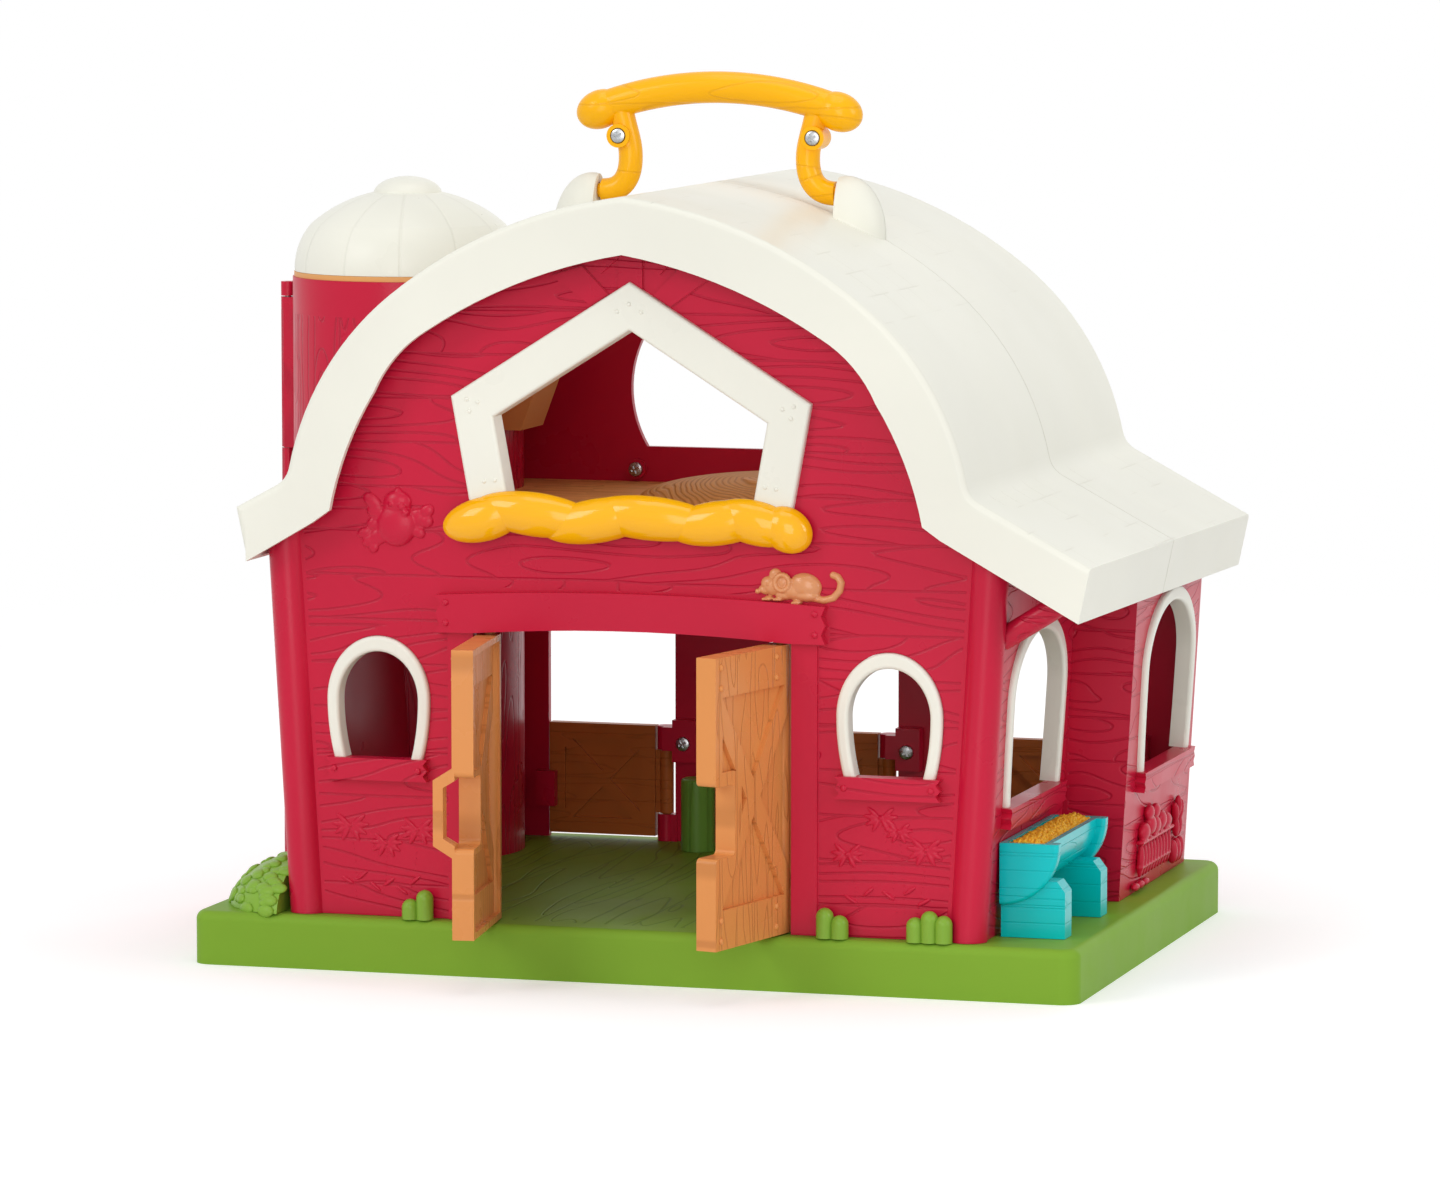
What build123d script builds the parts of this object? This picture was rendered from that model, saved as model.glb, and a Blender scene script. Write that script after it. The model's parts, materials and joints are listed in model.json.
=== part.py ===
"""Toy barn with opening doors: moulded shells, hinged doors, gates, silo and carrying handle."""
from build123d import *
from math import atan2, cos, degrees, hypot, radians, sin, sqrt
import os

# Millimetres. X runs to the barn's right, Y to its back, Z up.
# The origin is under the middle of the base.

# Clearances
seat_gap = 0.15        # between pieces fixed to each other
swing_gap = 0.4        # between a swinging piece and what it passes
pin_gap = 0.3          # round a plain hinge pin

# Base
base_width = 340.0
base_depth = 240.0
base_height = 20.0
base_corner_radius = 7.0
base_top_round = 3.5
plate_thickness = 2.5
plate_margin = 5.0

# Walls
wall = 3.0
wall_half_width = 133.0
wall_lean = 0.057      # outward run for each unit of height
front_wall_y = -112.0
rear_wall_y = 110.0
step_wall_y = 0.0
side_room_reach = 24.0
post_radius = 7.0
brace_radius = 4.2
brace_foot_z = 130.0
brace_pitch = 0.63      # rise for each unit of outward run
board_relief = 4.0     # lintel and sills stand this far out of the wall
trim_relief = 1.0      # thin boards on walls and doors

# Roof
roof_front_y = -124.0
roof_rear_y = 122.0
roof_skin = 2.6
fascia_thickness = 2.6
roof_edge_round = 2.4
ridge_z = 289.0
shoulder_x = 90.0
shoulder_z = ridge_z - 37.5
kink_x = 130.0
kink_z = ridge_z - 106.0
crown_bulge = 6.8
kink_radius = 10.0
eave_slope = 0.54
right_eave_reach = 45.0
right_eave_spread = 4.5    # extra reach at the rear end of the long eave
left_eave_reach = 20.0
eave_depth = 20.0
eave_tuck = 4.2
fascia_crown_z = ridge_z - 21.0
fascia_hip = (shoulder_x - 15.0, ridge_z - 50.0)
fascia_knee = (shoulder_x + 5.5, ridge_z - 73.0)
fascia_heel = (kink_x - 17.0, kink_z - 11.0)
fascia_root = (kink_x - 10.3, kink_z - 15.7)
fascia_crown_bulge = 4.1
fascia_hip_bulge = 2.4
fascia_heel_bulge = 2.2

# Carrying handle
handle_pivot_z = ridge_z - 4.0
handle_pin_radius = 2.8
handle_pin_length = 7.0
handle_half_span = 49.0
handle_top_z = handle_pivot_z + 39.6
handle_end_z = handle_pivot_z + 30.4
grip_radius = 6.0
grip_end_radii = (9.5, 7.4, 7.4)
grip_end_inset = 2.0
leg_radius = 4.6
leg_top_x = 39.0
leg_waist_x = 35.0
leg_waist_z = handle_pivot_z + 12.0
leg_foot_x = 46.0
boss_inner_x = 47.5
boss_centre_x = 50.5
boss_drop = 15.0
boss_radii = (15.0, 10.5, 21.8)
handle_screw_x = 38.3
handle_screw_z = handle_pivot_z + 21.0
handle_screw_recess = 0.8
screw_pad_height = 1.4

# Front doorway and its doors
doorway_half_width = 61.0
doorway_top_z = 127.3
doorway_rise = 2.5
door_axis_x = 56.0
door_thickness = 8.0
door_skin = 2.4
door_rim = 2.4
inner_board_relief = 1.6
door_top_z = 126.6
door_lift = 0.6
door_meeting_gap = 0.5
door_pin_radius = 2.0
door_pin_length = 3.2
door_rail_height = 14.5
door_board_relief = 1.8
door_brace_width = 8.0
door_stile_width = 5.0
door_notch_depth = 14.0
door_notch_height = 26.0
door_notch_z = 67.0
door_pull_reach = 8.0
door_pull_bar = 3.7
door_pull_width = 7.0
lug_half_width = 6.0
lug_height = 7.0
left_door_open = 82.0
right_door_open = 77.0
jamb_width = 9.8
lintel_half_width = 74.6
lintel_height = 13.8

# Horseshoe windows
front_window_x = 98.0
front_window_z = 79.4
front_window_half = 20.0
front_window_foot = 17.3
front_window_height = 45.4
front_window_spring = 21.6
side_window_z = 67.5
side_window_half = 42.0
side_window_foot = 40.0
side_window_height = 67.0
side_window_spring = 38.0
front_bay_window_y = -54.0
rear_bay_window_y = 57.0
window_band = 4.6
window_proud = 2.0
window_depth = 7.0
front_sill_height = 8.2
side_sill_height = 7.6
sill_overhang = 2.5

# Loft window, loft floor and hay
loft_frame_width = 15.0
loft_frame_proud = 3.0
loft_shoulder_x = 68.8
loft_shoulder_z = 214.6
loft_apex_z = 257.7
loft_foot_x = 61.0
loft_foot_z = 171.5
loft_floor_z = 164.0
loft_floor_thickness = 3.0
hay_height = 10.0

# Rear wall
bay_width = 53.0
bay_pitch = 92.0
first_bay_x = -103.0
bay_top_z = 132.0
bay_corner_radius = 9.0
rear_arch_foot_x = 61.6
rear_arch_foot_z = 178.0
rear_arch_half = 68.0
rear_arch_spring_z = 205.0
rear_arch_top_z = 250.0
loft_screw_x = 65.6
loft_screw_z = 169.0
loft_screw_length = 5.0
screw_boss_height = 2.6

# Rear gates
gate_bottom_z = 22.0
gate_top_z = 66.4
gate_core = 2.6
gate_rail = 1.2
gate_board = 6.5
gate_axis_inset = 4.0
gate_rod_radius = 2.8
gate_pin_radius = 1.7
gate_pin_length = 5.0
knuckle_radius = 3.8
upper_knuckle_height = 9.4
lower_knuckle_height = 10.8
gate_stop_foot_z = 33.0
gate_stop_height = 14.0
gate_stop_reach = 4.0
bracket_thickness = 5.0
bracket_screw_inset = 4.7
bracket_screw_z = 60.0
bracket_screw_length = 7.4

# Silo
silo_x = -147.0
silo_y = 64.5
silo_radius = 45.4
silo_wall = 2.6
silo_floor_thickness = 3.0
silo_top_z = 247.0
silo_collar_height = 2.0
silo_door_start = 76.0     # degrees round from +X
silo_door_end = 176.0
silo_barrel_radius = 2.8
silo_barrel_offset = 4.9
silo_web_reach = 5.5
silo_pin_radius = 1.2
silo_knuckle_breaks = (60.0, 178.0, 238.0)
chute_foot_z = 188.0
chute_top_z = 228.0
chute_reach = 13.0
chute_lip = 5.5
chute_slope_height = 20.0
chute_width = 28.0
chute_wall = 2.2
dome_thickness = 2.5
dome_cap_radius = 44.6
dome_shoulder_radius = 38.0
dome_shoulder_rise = 18.5
dome_crown_rise = 32.0
dome_flat = 1.0
knob_radius = 13.5
knob_rise = 37.0

# Trough
trough_x = 135.6
trough_width = 18.5
trough_front_y = -98.0
trough_length = 79.0
trough_rim_z = 55.0
trough_spring_z = trough_rim_z - 1.0
trough_wall = 2.2
trough_band_width = 6.0
trough_band_relief = 3.4
trough_band_round = 1.6
trough_leg_width = 24.0
trough_leg_thickness = 10.0
trough_leg_height = 21.0
trough_front_leg_y = -95.5
trough_rear_leg_y = -40.0

# Green mound, grass and stump on the base
mound_radii = (31.0, 36.0, 21.0)
mound_y = -84.0
tuft_radius = 3.2
tuft_heights = {-84.6: 7.5, -79.0: 11.0, 74.8: 11.0, 80.4: 8.5, 108.8: 9.0, 114.2: 11.5, 119.5: 10.0}
stump_x = -34.0
stump_y = 85.0
stump_radius = 6.7
stump_top_z = 49.0
stump_round = 1.5

# Screws
screw_head_radius = 2.9
screw_head_height = 1.4
screw_shank_radius = 1.4
screw_length = 9.0

# Derived levels
far = base_width + base_depth + ridge_z    # beyond every piece, for cutting boxes
rear_eave_reach = right_eave_reach + right_eave_spread
wall_foot_z = base_height + seat_gap
door_axis_y = front_wall_y + door_thickness / 2
door_bottom_z = base_height + door_lift
gate_axis_y = rear_wall_y - wall / 2
silo_barrel_x = silo_x - silo_radius - silo_barrel_offset
rest_door_angles = {-1: left_door_open, 1: right_door_open}


def lean_x(z, reach=0.0):
    """Outer face of a leaning side wall at a height."""
    return wall_half_width + reach + wall_lean * (z - base_height)


def slab(region, near_y, far_y):
    """Turn an outline drawn as (x, z) into a plate between two depths."""
    return extrude(Plane.XZ.offset(-near_y) * region, amount=near_y - far_y)


def box_between(low, high):
    """Box given by its lowest and highest corners."""
    size = [b - a for a, b in zip(low, high)]
    return Pos(*low) * Box(*size, align=(Align.MIN, Align.MIN, Align.MIN))


def rod(start, direction, radius, length):
    """Round bar from a point along a direction."""
    return Plane(origin=start, z_dir=direction) * Cylinder(
        radius, length, align=(Align.CENTER, Align.CENTER, Align.MIN)
    )


def ellipsoid(centre, radii):
    """Stretched ball, used for soft moulded forms."""
    return Pos(*centre) * scale(Sphere(1), by=radii)


def bowed(start, end, bulge):
    """Arc between two points of an outline, bowed to the left of its direction."""
    dx = end[0] - start[0]
    dz = end[1] - start[1]
    length = hypot(dx, dz)
    middle = ((start[0] + end[0]) / 2 - dz / length * bulge, (start[1] + end[1]) / 2 + dx / length * bulge)
    return ThreePointArc(start, middle, end)


def polygon(*points):
    """Closed straight-sided outline."""
    return make_face(Polyline(*points, close=True))


def on_side_wall(reach=0.0):
    """Plane on a leaning side wall's outer face; its axes run along Y and up the wall."""
    return Plane(
        origin=(wall_half_width + reach, 0, base_height),
        x_dir=(0, 1, 0),
        z_dir=(1, 0, -wall_lean),
    )


def mirrored(solid):
    """The same piece on the barn's other side."""
    return mirror(solid, about=Plane.YZ)


# ------------------------------------------------------------------ roof outlines

def eave_tip(reach):
    """Upper corner of an eave's end, on the right-hand side."""
    return (kink_x + reach, kink_z - eave_slope * reach)


def eave_foot(reach):
    """Lower corner of an eave's end, on the right-hand side."""
    tip = eave_tip(reach)
    return (tip[0] - eave_tuck, tip[1] - eave_depth)


def roof_outline():
    """Everything under the roof's outer face, closed far below the eaves."""
    crown = bowed((0, ridge_z), (shoulder_x, shoulder_z), crown_bulge)
    flank = TangentArc((shoulder_x, shoulder_z), (kink_x, kink_z), tangent=crown % 1)
    right_tip = eave_tip(rear_eave_reach)
    left_tip = eave_tip(left_eave_reach)
    right_foot = eave_foot(rear_eave_reach)
    left_foot = eave_foot(left_eave_reach)
    low = Polyline(
        (kink_x, kink_z), right_tip, right_foot, (right_foot[0], 0),
        (-left_foot[0], 0), (-left_foot[0], left_foot[1]), (-left_tip[0], left_tip[1]), (-kink_x, kink_z),
    )
    region = make_face([crown, flank, mirror(crown, Plane.YZ), mirror(flank, Plane.YZ), *low.edges()])
    kinks = [v for v in region.vertices() if abs(abs(v.X) - kink_x) < 0.01 and abs(v.Y - kink_z) < 0.01]
    return fillet(kinks, kink_radius)


def fascia_opening():
    """Everything under the lower edge of the roof's front and rear fascias."""
    right_foot = eave_foot(rear_eave_reach)
    left_foot = eave_foot(left_eave_reach)
    arcs = [
        bowed((0, fascia_crown_z), fascia_hip, fascia_crown_bulge),
        bowed(fascia_hip, fascia_knee, fascia_hip_bulge),
        bowed(fascia_knee, fascia_heel, fascia_heel_bulge),
    ]
    low = Polyline(
        fascia_heel, fascia_root, right_foot, (right_foot[0] + wall, right_foot[1]), (right_foot[0] + wall, -1),
        (-left_foot[0] - wall, -1), (-left_foot[0] - wall, left_foot[1]), (-left_foot[0], left_foot[1]),
        (-fascia_root[0], fascia_root[1]), (-fascia_heel[0], fascia_heel[1]),
    )
    return make_face([*arcs, *[mirror(arc, Plane.YZ) for arc in arcs], *low.edges()])


roof_region = roof_outline()
room_region = offset(roof_region, amount=-(roof_skin + seat_gap), kind=Kind.INTERSECTION)


def silo_clearance(extra=seat_gap):
    """Column of space that the silo takes, with the sweep of its rear door."""
    column = Pos(silo_x, silo_y) * Cylinder(silo_radius + extra, 2 * far)
    free_edge_x = silo_x + silo_radius * cos(radians(silo_door_start)) + swing_gap
    sweep = box_between((-far, silo_y, -far), (free_edge_x, far, far))
    return column + sweep


def beyond_long_eave(shift):
    """Space outside the long eave's end, which spreads towards the rear."""
    tip = eave_tip(right_eave_reach)
    foot = eave_foot(right_eave_reach)
    along = Vector(right_eave_spread, roof_rear_y - roof_front_y, -eave_slope * right_eave_spread)
    down = Vector(foot[0] - tip[0], 0, foot[1] - tip[1])
    outward = down.cross(along)
    face = Plane(origin=(tip[0], roof_front_y, tip[1]), x_dir=along, z_dir=outward)
    return extrude(face.offset(shift) * Rectangle(2 * far, 2 * far), amount=far)


def roof_shell():
    """Bell-shaped roof skin with its rim fascias and the handle's two bosses."""
    block = slab(roof_region, roof_front_y, roof_rear_y)
    block -= beyond_long_eave(0)
    lowest_rim = eave_foot(right_eave_reach)[1]
    rims = [
        edge for edge in block.edges()
        if edge.center().Z > lowest_rim and abs(edge.center().Y - (roof_front_y + roof_rear_y) / 2) > 1
    ]
    block = fillet(rims, roof_edge_round)
    block -= slab(fascia_opening(), roof_front_y - 1, roof_rear_y + 1)
    for side in (-1, 1):
        block += handle_boss(side)
    cavity_region = offset(roof_region, amount=-roof_skin, kind=Kind.INTERSECTION)
    cavity = slab(cavity_region, roof_front_y + fascia_thickness, roof_rear_y - fascia_thickness)
    block -= cavity - beyond_long_eave(-roof_skin)
    for side in (-1, 1):
        block -= handle_bore(side)
    return block - silo_clearance()


def handle_boss(side):
    """Raised lug on the roof that carries one end of the handle."""
    egg = ellipsoid((boss_centre_x, 0, handle_pivot_z - boss_drop), boss_radii)
    lug = egg & box_between((boss_inner_x, -far, shoulder_z), (far, far, far))
    return lug if side > 0 else mirrored(lug)


def handle_bore(side):
    """Blind hole in a boss for the handle's pin."""
    return rod(
        (side * (boss_inner_x - 1), 0, handle_pivot_z), (side, 0, 0),
        handle_pin_radius + pin_gap, handle_pin_length + 1.5,
    )


def roof_halves():
    """Front and rear roof mouldings, which meet across the middle and trap the handle's pins."""
    shell = roof_shell()
    front = shell & box_between((-far, -far, -far), (far, -seat_gap, far))
    rear = shell & box_between((-far, seat_gap, -far), (far, far, far))
    return {"roof_front": front, "roof_rear": rear}


# ------------------------------------------------------------------ windows

def horseshoe(half, foot, height, spring):
    """Horseshoe outline that stands on its two feet at the origin."""
    crown = EllipticalCenterArc((0, spring), half, height - spring, start_angle=0, arc_size=180)
    right = TangentArc((half, spring), (foot, 0), tangent=(0, -1))
    left = TangentArc((-half, spring), (-foot, 0), tangent=(0, -1))
    return make_face([crown, left, Line((-foot, 0), (foot, 0)), right])


def horseshoe_ring(half, foot, height, spring):
    """White window frame lying on the XY plane, its front half standing out of the wall."""
    outer = horseshoe(half, foot, height, spring)
    inner = horseshoe(half - window_band, foot - window_band, height - window_band * 1.25, spring)
    ring = extrude(outer - inner, amount=window_depth)
    front = ring.faces().sort_by(Axis.Z)[-1]
    rims = [edge for edge in front.edges() if edge.center().Y > 0.1]
    ring = fillet(rims, 1.4)
    return Pos(0, 0, window_proud - window_depth) * ring


front_window_sizes = (front_window_half, front_window_foot, front_window_height, front_window_spring)
side_window_sizes = (side_window_half, side_window_foot, side_window_height, side_window_spring)


def window_hole(sizes):
    """Outline of the hole that a window frame drops into."""
    half, foot, height, spring = sizes
    return horseshoe(half + seat_gap, foot + seat_gap, height + seat_gap, spring)


def front_window_place(side):
    """Plane on the front wall at a window's feet."""
    return Plane(
        origin=(side * front_window_x, front_wall_y, front_window_z), x_dir=(1, 0, 0), z_dir=(0, -1, 0)
    )


def side_window_place(centre_y, reach):
    """Location on a side wall at a window's feet."""
    plane = on_side_wall(reach)
    return plane * Pos(centre_y, side_window_z - base_height, 0)


def sill_outline(half_width, height):
    """Board with splintered ends, hanging below the origin."""
    tooth = 1.6
    step = height / 4
    right = [(half_width - tooth * (i % 2), -step * i) for i in range(5)]
    left = [(-x, z) for x, z in reversed(right)]
    return polygon(*right, *left)


# ------------------------------------------------------------------ walls

def leaning_region(left_reach, right_reach):
    """Wall outline between the leaning sides, up to the underside of the roof."""
    region = polygon(
        (-lean_x(wall_foot_z, left_reach), wall_foot_z), (lean_x(wall_foot_z, right_reach), wall_foot_z),
        (lean_x(ridge_z, right_reach), ridge_z), (-lean_x(ridge_z, left_reach), ridge_z),
    )
    return region & room_region


def doorway_region():
    """Doorway outline with a slightly arched head."""
    head = ThreePointArc(
        (doorway_half_width, doorway_top_z), (0, doorway_top_z + doorway_rise),
        (-doorway_half_width, doorway_top_z),
    )
    low = Polyline(
        (-doorway_half_width, doorway_top_z), (-doorway_half_width, 0),
        (doorway_half_width, 0), (doorway_half_width, doorway_top_z),
    )
    return make_face([head, *low.edges()])


def lintel():
    """Board over the doorway with splintered ends."""
    centre_z = doorway_top_z + lintel_height
    board = Pos(0, centre_z) * sill_outline(lintel_half_width, lintel_height)
    arch = make_face([
        ThreePointArc((-lintel_half_width, centre_z), (0, centre_z + doorway_rise), (lintel_half_width, centre_z)),
        Line((lintel_half_width, centre_z), (-lintel_half_width, centre_z)),
    ])
    return slab((board + arch) - doorway_region(), front_wall_y - board_relief, front_wall_y)


def doorway_jambs():
    """Plain upright boards beside the doorway."""
    foot = Pos(0, (wall_foot_z + doorway_top_z) / 2) * Rectangle(
        2 * (doorway_half_width + jamb_width), doorway_top_z - wall_foot_z
    )
    return slab(foot - doorway_region(), front_wall_y - trim_relief, front_wall_y)


def corner_post(side):
    """Half-round post on a front corner, leaning with the side wall."""
    foot_x = side * (lean_x(wall_foot_z) - post_radius + 1)
    top_z = kink_z - 13
    section = Pos(foot_x, front_wall_y + wall, wall_foot_z) * Circle(post_radius)
    column = extrude(section, amount=top_z - wall_foot_z, dir=(side * wall_lean, 0, 1))
    return column & box_between((-far, -far, -far), (far, front_wall_y + wall, far))


def loft_pentagon(inset, foot_z):
    """House-shaped outline of the loft window, inset from the frame's outer edge."""
    pitch = (loft_apex_z - loft_shoulder_z) / loft_shoulder_x
    side_run = (loft_shoulder_x - loft_foot_x) / (loft_shoulder_z - loft_foot_z)
    apex_z = loft_apex_z - inset * hypot(1, pitch)
    side_top_x = loft_shoulder_x - inset * hypot(1, side_run)
    side_foot_x = side_top_x - side_run * loft_shoulder_z
    shoulder_z = (apex_z - pitch * side_foot_x) / (1 + side_run * pitch)
    shoulder_x = side_top_x - side_run * (loft_shoulder_z - shoulder_z)
    foot_x = side_top_x - side_run * (loft_shoulder_z - foot_z)
    return polygon(
        (-foot_x, foot_z), (foot_x, foot_z), (shoulder_x, shoulder_z), (0, apex_z), (-shoulder_x, shoulder_z)
    )


def gable_boards():
    """Thin boards that fan out above the loft window."""
    boards = Sketch()
    for lean, length in ((-42, 26), (0, 16), (42, 26)):
        boards += Pos(0, loft_apex_z - 3) * Rot(0, 0, -lean) * Pos(0, length / 2 + abs(lean) * 0.28) * Rectangle(9, length)
    region = boards & leaning_region(0, 0)
    return slab(region - loft_pentagon(0, loft_foot_z), front_wall_y - trim_relief, front_wall_y)


def front_wall():
    """Front wall with doorway, loft window and two horseshoe windows."""
    shell = slab(leaning_region(0, 0), front_wall_y, front_wall_y + wall)
    shell -= slab(doorway_region(), front_wall_y - 1, front_wall_y + wall + 1)
    for side in (-1, 1):
        shell += corner_post(side)
        place = front_window_place(side)
        shell += extrude(place * sill_outline(front_window_foot + sill_overhang, front_sill_height), amount=board_relief)
    shell += lintel() + gable_boards() + doorway_jambs()
    for side in (-1, 1):
        shell += door_lug(side)
        shell -= rod(
            (side * door_axis_x, door_axis_y, doorway_top_z - 1), (0, 0, 1),
            door_pin_radius + pin_gap, door_pin_length + 2,
        )
        shell -= extrude(front_window_place(side) * window_hole(front_window_sizes), amount=wall + 1, both=True)
    shell -= slab(loft_pentagon(loft_frame_width - wall, loft_foot_z), front_wall_y - board_relief, front_wall_y + wall + 1)
    return shell


def door_lug(side):
    """Lug behind the lintel that holds a door's upper pin."""
    return box_between(
        (side * door_axis_x - lug_half_width, front_wall_y + wall - 0.5, doorway_top_z),
        (side * door_axis_x + lug_half_width, door_axis_y + lug_half_width, doorway_top_z + lug_height),
    )


def side_wall_strip(reach, near_y, far_y):
    """Leaning side wall on the right, between two depths."""
    strip = leaning_region(0, reach) - polygon(
        (-base_width, 0), (lean_x(0, reach - wall), 0), (lean_x(ridge_z, reach - wall), ridge_z), (-base_width, ridge_z)
    )
    return slab(strip, near_y, far_y)


def side_window_work(centre_y, reach):
    """Sill to add to a side wall and the window hole to cut from it."""
    place = side_window_place(centre_y, reach)
    sill = extrude(place * sill_outline(side_window_foot + sill_overhang, side_sill_height), amount=board_relief)
    hole = extrude(place * window_hole(side_window_sizes), amount=wall + 1, both=True)
    return sill, hole


def eave_brace():
    """Round strut from the front corner post up to the long eave."""
    root_x = lean_x(brace_foot_z) - wall / 2
    start = (root_x, front_wall_y + wall + brace_radius + 2 * seat_gap + 0.3, brace_foot_z)
    strut = rod(start, (1, 0, brace_pitch), brace_radius, 2 * right_eave_reach)
    roof_room = slab(room_region, front_wall_y, step_wall_y) - beyond_long_eave(-roof_skin - seat_gap)
    return strut & roof_room & box_between((root_x, -far, -far), (far, far, far))


def right_wall():
    """Right side: a set-back front bay, a step and the wall of the rear side room."""
    near_y = front_wall_y + wall + seat_gap
    far_y = rear_wall_y - wall - seat_gap
    front_bay = side_wall_strip(0, near_y, step_wall_y + wall)
    rear_bay = side_wall_strip(side_room_reach, step_wall_y, far_y)
    step = leaning_region(0, side_room_reach) - polygon(
        (-base_width, 0), (lean_x(0) - wall, 0), (lean_x(ridge_z) - wall, ridge_z), (-base_width, ridge_z)
    )
    shell = front_bay + rear_bay + slab(step, step_wall_y, step_wall_y + wall) + eave_brace()
    for centre_y, reach in ((front_bay_window_y, 0.0), (rear_bay_window_y, side_room_reach)):
        sill, hole = side_window_work(centre_y, reach)
        shell = shell + sill - hole
    return shell


def left_wall():
    """Left side wall, which runs from the front wall to the silo."""
    near_y = front_wall_y + wall + seat_gap
    shell = mirrored(side_wall_strip(0, near_y, silo_y)) - silo_clearance()
    return shell.solids().sort_by(Axis.Y)[0]


def rear_arch_region():
    """Wide arched opening high in the rear wall."""
    side = ThreePointArc(
        (rear_arch_foot_x, rear_arch_foot_z), (rear_arch_half, rear_arch_spring_z),
        (rear_arch_foot_x - 6, rear_arch_spring_z + 27),
    )
    top = TangentArc((rear_arch_foot_x - 6, rear_arch_spring_z + 27), (0, rear_arch_top_z), tangent=side % 1)
    base = Line((-rear_arch_foot_x, rear_arch_foot_z), (rear_arch_foot_x, rear_arch_foot_z))
    return make_face([side, top, base, mirror(side, Plane.YZ), mirror(top, Plane.YZ)])


def bay_edges():
    """Left and right edge of each open bay in the rear wall."""
    return [(first_bay_x + bay_pitch * i, first_bay_x + bay_pitch * i + bay_width) for i in range(3)]


def bay_region(left, right):
    """Open bay with rounded upper corners, down through the wall's foot."""
    height = bay_top_z + bay_corner_radius
    return Pos((left + right) / 2, bay_top_z - height / 2) * RectangleRounded(bay_width, height, bay_corner_radius)


def gate_knuckles(right_edge):
    """Lower hinge knuckle of a gate, standing beside its post."""
    axis_x = right_edge - gate_axis_inset
    top_z = wall_foot_z + lower_knuckle_height
    body = rod((axis_x, gate_axis_y, wall_foot_z), (0, 0, 1), knuckle_radius, lower_knuckle_height)
    body += box_between(
        (axis_x, gate_axis_y - wall, wall_foot_z), (right_edge + 1, gate_axis_y + wall / 2, top_z)
    )
    socket = rod((axis_x, gate_axis_y, top_z - gate_pin_length - 1), (0, 0, 1), gate_pin_radius + pin_gap, 20)
    return body - socket


def gate_stop(left_edge):
    """Stop block behind which a gate's free end closes."""
    back_y = gate_axis_y - gate_core / 2 - gate_rail - swing_gap
    low = (left_edge - gate_stop_reach, back_y - gate_stop_reach, gate_stop_foot_z)
    top_z = gate_stop_foot_z + gate_stop_height
    stop = box_between(low, (left_edge + gate_stop_reach, back_y, top_z))
    return stop + box_between(low, (left_edge - 0.5, rear_wall_y - wall + 0.5, top_z))


def rear_wall():
    """Rear wall with three gated bays below and an open arch above."""
    outline = leaning_region(0, side_room_reach)
    shell = slab(outline, rear_wall_y - wall, rear_wall_y)
    shell -= slab(rear_arch_region(), rear_wall_y - wall - 1, rear_wall_y + 1)
    for left, right in bay_edges():
        shell -= slab(bay_region(left, right), rear_wall_y - wall - 1, rear_wall_y + 1)
    for left, right in bay_edges():
        shell += gate_knuckles(right) + gate_stop(left)
    for place in loft_screw_places():
        shell += rod(place, (0, 1, 0), screw_head_radius + 1, screw_boss_height + 0.5)
        shell -= rod(place, (0, 1, 0), screw_shank_radius + seat_gap, loft_screw_length + seat_gap)
    for place in bracket_screw_places():
        shell -= rod(place, (0, 1, 0), screw_shank_radius + seat_gap, bracket_screw_length + seat_gap)
    shell -= silo_clearance()
    return shell.solids().sort_by(SortBy.VOLUME)[-1]


# ------------------------------------------------------------------ base

def deck_outline():
    """Plan of the base with a bite for the silo."""
    return RectangleRounded(base_width, base_depth, base_corner_radius)


def base_deck():
    """Green base moulding with the door pins' sockets."""
    deck = extrude(deck_outline(), amount=base_height)
    deck = fillet(deck.faces().sort_by(Axis.Z)[-1].edges(), base_top_round)
    for side in (-1, 1):
        deck -= rod(
            (side * door_axis_x, door_axis_y, base_height + 1), (0, 0, -1), door_pin_radius + pin_gap, door_pin_length + 2
        )
    deck -= silo_clearance()
    recess = offset(deck_outline(), amount=-plate_margin + seat_gap)
    deck -= extrude(recess, amount=plate_thickness + seat_gap)
    for x, y in base_screw_places():
        deck -= rod((x, y, 0), (0, 0, 1), screw_shank_radius + seat_gap, screw_length + 2)
    return deck.solids().sort_by(SortBy.VOLUME)[-1]


def bush_mound():
    """Round bush beside the left wall's front corner."""
    mound = ellipsoid((-lean_x(base_height) - 1, mound_y, base_height - 2), mound_radii)
    clear_wall_x = -lean_x(base_height + mound_radii[2]) - 2
    return mound & box_between((-far, -far, wall_foot_z), (clear_wall_x, far, far))


def grass_tuft(x, height):
    """Blunt blade of grass standing on the base against the wall."""
    y = front_wall_y - trim_relief - seat_gap - tuft_radius
    stem_height = height - tuft_radius
    blade = rod((x, y, wall_foot_z), (0, 0, 1), tuft_radius, stem_height)
    return blade + Pos(x, y, wall_foot_z + stem_height) * Sphere(tuft_radius)


def grass_tufts():
    """Blades of grass along the front wall's foot."""
    return Compound(children=[grass_tuft(x, height) for x, height in tuft_heights.items()])


def stump_post():
    """Round green post that stands behind the doorway."""
    post = rod((stump_x, stump_y, wall_foot_z), (0, 0, 1), stump_radius, stump_top_z - wall_foot_z)
    return fillet(post.faces().sort_by(Axis.Z)[-1].edges(), stump_round)


def base_screw_places():
    """Plan positions of the screws that close the base from below."""
    inset_x = base_width / 2 - 25
    inset_y = base_depth / 2 - 25
    return [(-inset_x, -inset_y), (0, -inset_y), (inset_x, -inset_y), (0, inset_y), (inset_x, inset_y), (-60, inset_y)]


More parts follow.
